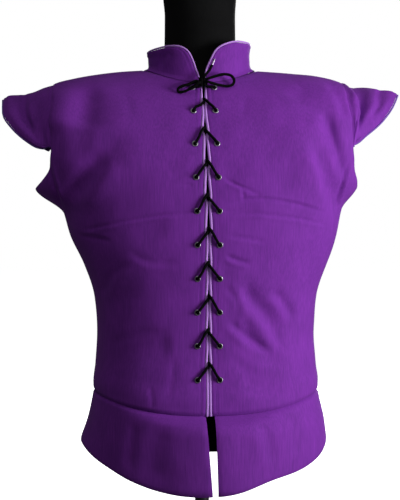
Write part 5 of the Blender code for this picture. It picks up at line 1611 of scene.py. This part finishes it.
def fine_form_rings():
    """The form's rings, as the solid's: the trunk, the shoulders close under the cloth, and the neck."""
    angles = signed(np.linspace(0.0, 2 * math.pi, FORM_COLUMNS, endpoint=False))
    trunk = np.concatenate([np.linspace(*span) for span in TRUNK_SPANS])
    neck = np.concatenate([np.linspace(*span) for span in NECK_SPANS])
    rings = [ring_point(TRUNK_RINGS, share, angles) for share in trunk]
    ahead = smooth_step(*FORM_FRONT, np.cos(angles))
    inset = BODY_CLOTH + FORM_REST_GAP + FORM_LACE_ROOM * ahead
    for share in np.linspace(SHOULDER_SHARES[0], SHOULDER_SHARES[-1], SHOULDER_ROWS):
        row = np.full(len(angles), share)
        rings.append(body_surface(row, angles) - normals(body_surface, row, angles) * inset[:, None])
    rings += [ring_point(NECK_RINGS, share, angles) for share in neck]
    return np.array(rings)


def turned_piece(name, profile, count, finish, node):
    """A profile of radii and heights turned about the upright axis, with a cap at each end."""
    profile = np.array(profile)
    turn = np.linspace(0.0, 2 * np.pi, count, endpoint=False)
    radius, height = profile[:, :1], profile[:, 1:]
    points = np.stack(np.broadcast_arrays(radius * np.cos(turn), radius * np.sin(turn), height), axis=-1)
    faces = tube_faces(len(profile), count, turned=True)
    dress(surface_mesh(name, points, faces, points[..., :2], finish), "stand_metal", node)


def add_form(jersey, paint):
    """The limbless form, its pole and its round base, whose edges are quarter circles."""
    rings = fine_form_rings()
    rows, columns = rings.shape[:2]
    faces = tube_faces(rows, columns, turned=True)
    uv = np.stack(np.broadcast_arrays(np.linspace(0, 1, columns)[None], rings[..., 2]), axis=-1)
    dress(surface_mesh("form_jersey", rings, faces, uv, jersey), "form_cover", "form_torso")
    (_, _, pole_low), (_, _, pole_high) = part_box("form_pole")
    _, (_, _, base_high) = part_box("form_base")
    pole = [(POLE_RADIUS, height) for height in (pole_low, 0.5 * (pole_low + pole_high), pole_high)]
    flat = BASE_RADIUS - BASE_BEVEL
    rim = np.linspace(0.0, np.pi / 2, BASE_BEVEL_ROWS)
    base = [(flat + BASE_BEVEL * np.sin(a), BASE_BEVEL * (1 - np.cos(a))) for a in rim]
    base += [(flat + BASE_BEVEL * np.cos(a), base_high - BASE_BEVEL * (1 - np.sin(a))) for a in rim]
    base += [(BASE_TOP_RADIUS, base_high)]
    turned_piece("form_pole_paint", pole, POLE_SIDES, paint, "form_pole")
    turned_piece("form_base_paint", base, BASE_SIDES, paint, "form_base")


def add_camera():
    """The camera at its distance, height and turn, aimed at the garment's middle."""
    data = bpy.data.cameras.new("camera")
    camera = bpy.data.objects.new("camera", data)
    bpy.context.scene.collection.objects.link(camera)
    data.sensor_width = SENSOR
    data.lens = FOCAL_PIXELS / max(PHOTO_WIDTH, PHOTO_HEIGHT) * SENSOR
    ahead = Vector((math.sin(CAMERA_AZIMUTH), -math.cos(CAMERA_AZIMUTH), 0.0))
    place = CAMERA_DISTANCE * ahead
    place.z = CAMERA_HEIGHT
    camera.location = place
    camera.rotation_euler = (Vector(AIM) - place).to_track_quat("-Z", "Y").to_euler()
    data.clip_end = 60.0
    bpy.context.scene.camera = camera


def add_light(name, place, aim, size, power):
    """A round area light at a place, turned to its aim."""
    data = bpy.data.lights.new(name, "AREA")
    data.shape = "DISK"
    data.size = size
    data.energy = power
    light = bpy.data.objects.new(name, data)
    light.location = place
    light.rotation_euler = (Vector(aim) - Vector(place)).to_track_quat("-Z", "Y").to_euler()
    light.visible_camera = False
    bpy.context.scene.collection.objects.link(light)


WORLD_LIGHT = 0.082
WORLD_SEEN = 1.0
KEY_POWER = 34.5
KEY_SIZE = 0.8
KEY_PLACE = (1.46, -0.96, 0.72)
KEY_AIM = (0.0, 0.0, 0.45)
FILL_POWER = 10.0
FILL_SIZE = 1.6
FILL_PLACE = (-0.35, -1.35, 2.35)
BACK_POWER = 46.0
BACK_SIZE = 1.2
BACK_PLACE = (0.70, 2.30, 1.00)


def add_stage():
    """A pale floor, a soft key light from the wearer's left and a pale surround."""
    mesh = bpy.data.meshes.new("floor")
    corners = [(x * FLOOR_HALF, y * FLOOR_HALF, 0) for x, y in ((-1, -1), (1, -1), (1, 1), (-1, 1))]
    mesh.from_pydata(corners, [], [(0, 1, 2, 3)])
    mesh.materials.append(stage_material())
    floor = bpy.data.objects.new("floor", mesh)
    bpy.context.scene.collection.objects.link(floor)
    floor.visible_diffuse = False
    floor.visible_glossy = False
    world = bpy.data.worlds.new("surround")
    bpy.context.scene.world = world
    world.use_nodes = True
    nodes, links = world.node_tree.nodes, world.node_tree.links
    nodes.clear()
    rays = nodes.new("ShaderNodeLightPath")
    mix = nodes.new("ShaderNodeMixShader")
    out = nodes.new("ShaderNodeOutputWorld")
    for socket, strength in ((1, WORLD_LIGHT), (2, WORLD_SEEN)):
        shade = nodes.new("ShaderNodeBackground")
        shade.inputs["Color"].default_value = (1.0, 1.0, 1.0, 1.0)
        shade.inputs["Strength"].default_value = strength
        links.new(shade.outputs["Background"], mix.inputs[socket])
    links.new(rays.outputs["Is Camera Ray"], mix.inputs["Fac"])
    links.new(mix.outputs["Shader"], out.inputs["Surface"])
    add_light("key", KEY_PLACE, KEY_AIM, KEY_SIZE, KEY_POWER)
    add_light("fill", FILL_PLACE, KEY_AIM, FILL_SIZE, FILL_POWER)
    add_light("back", BACK_PLACE, KEY_AIM, BACK_SIZE, BACK_POWER)
    bpy.context.scene.view_settings.view_transform = "Standard"


add_camera()
black_lace = cord_material("black lace", BLACK_LACE)
lace_tip = worn_metal("lace tip", LACE_TIP)
add_laces(black_lace)
add_knot(black_lace)
add_bow(black_lace, lace_tip)
cotton = purple_cloth()
front_panels, front_pieces, collar_shape, wing_shapes = add_garment(cotton)
trim = piping_lines(front_panels, collar_shape, wing_shapes)
add_piping(trim, lilac_piping())
add_topstitching(trim, cord_material("purple thread", PURPLE_THREAD))
add_eyelets(front_pieces, worn_metal("nickel", NICKEL))
add_form(form_cover(), worn_metal("black paint", BLACK_PAINT))
add_stage()
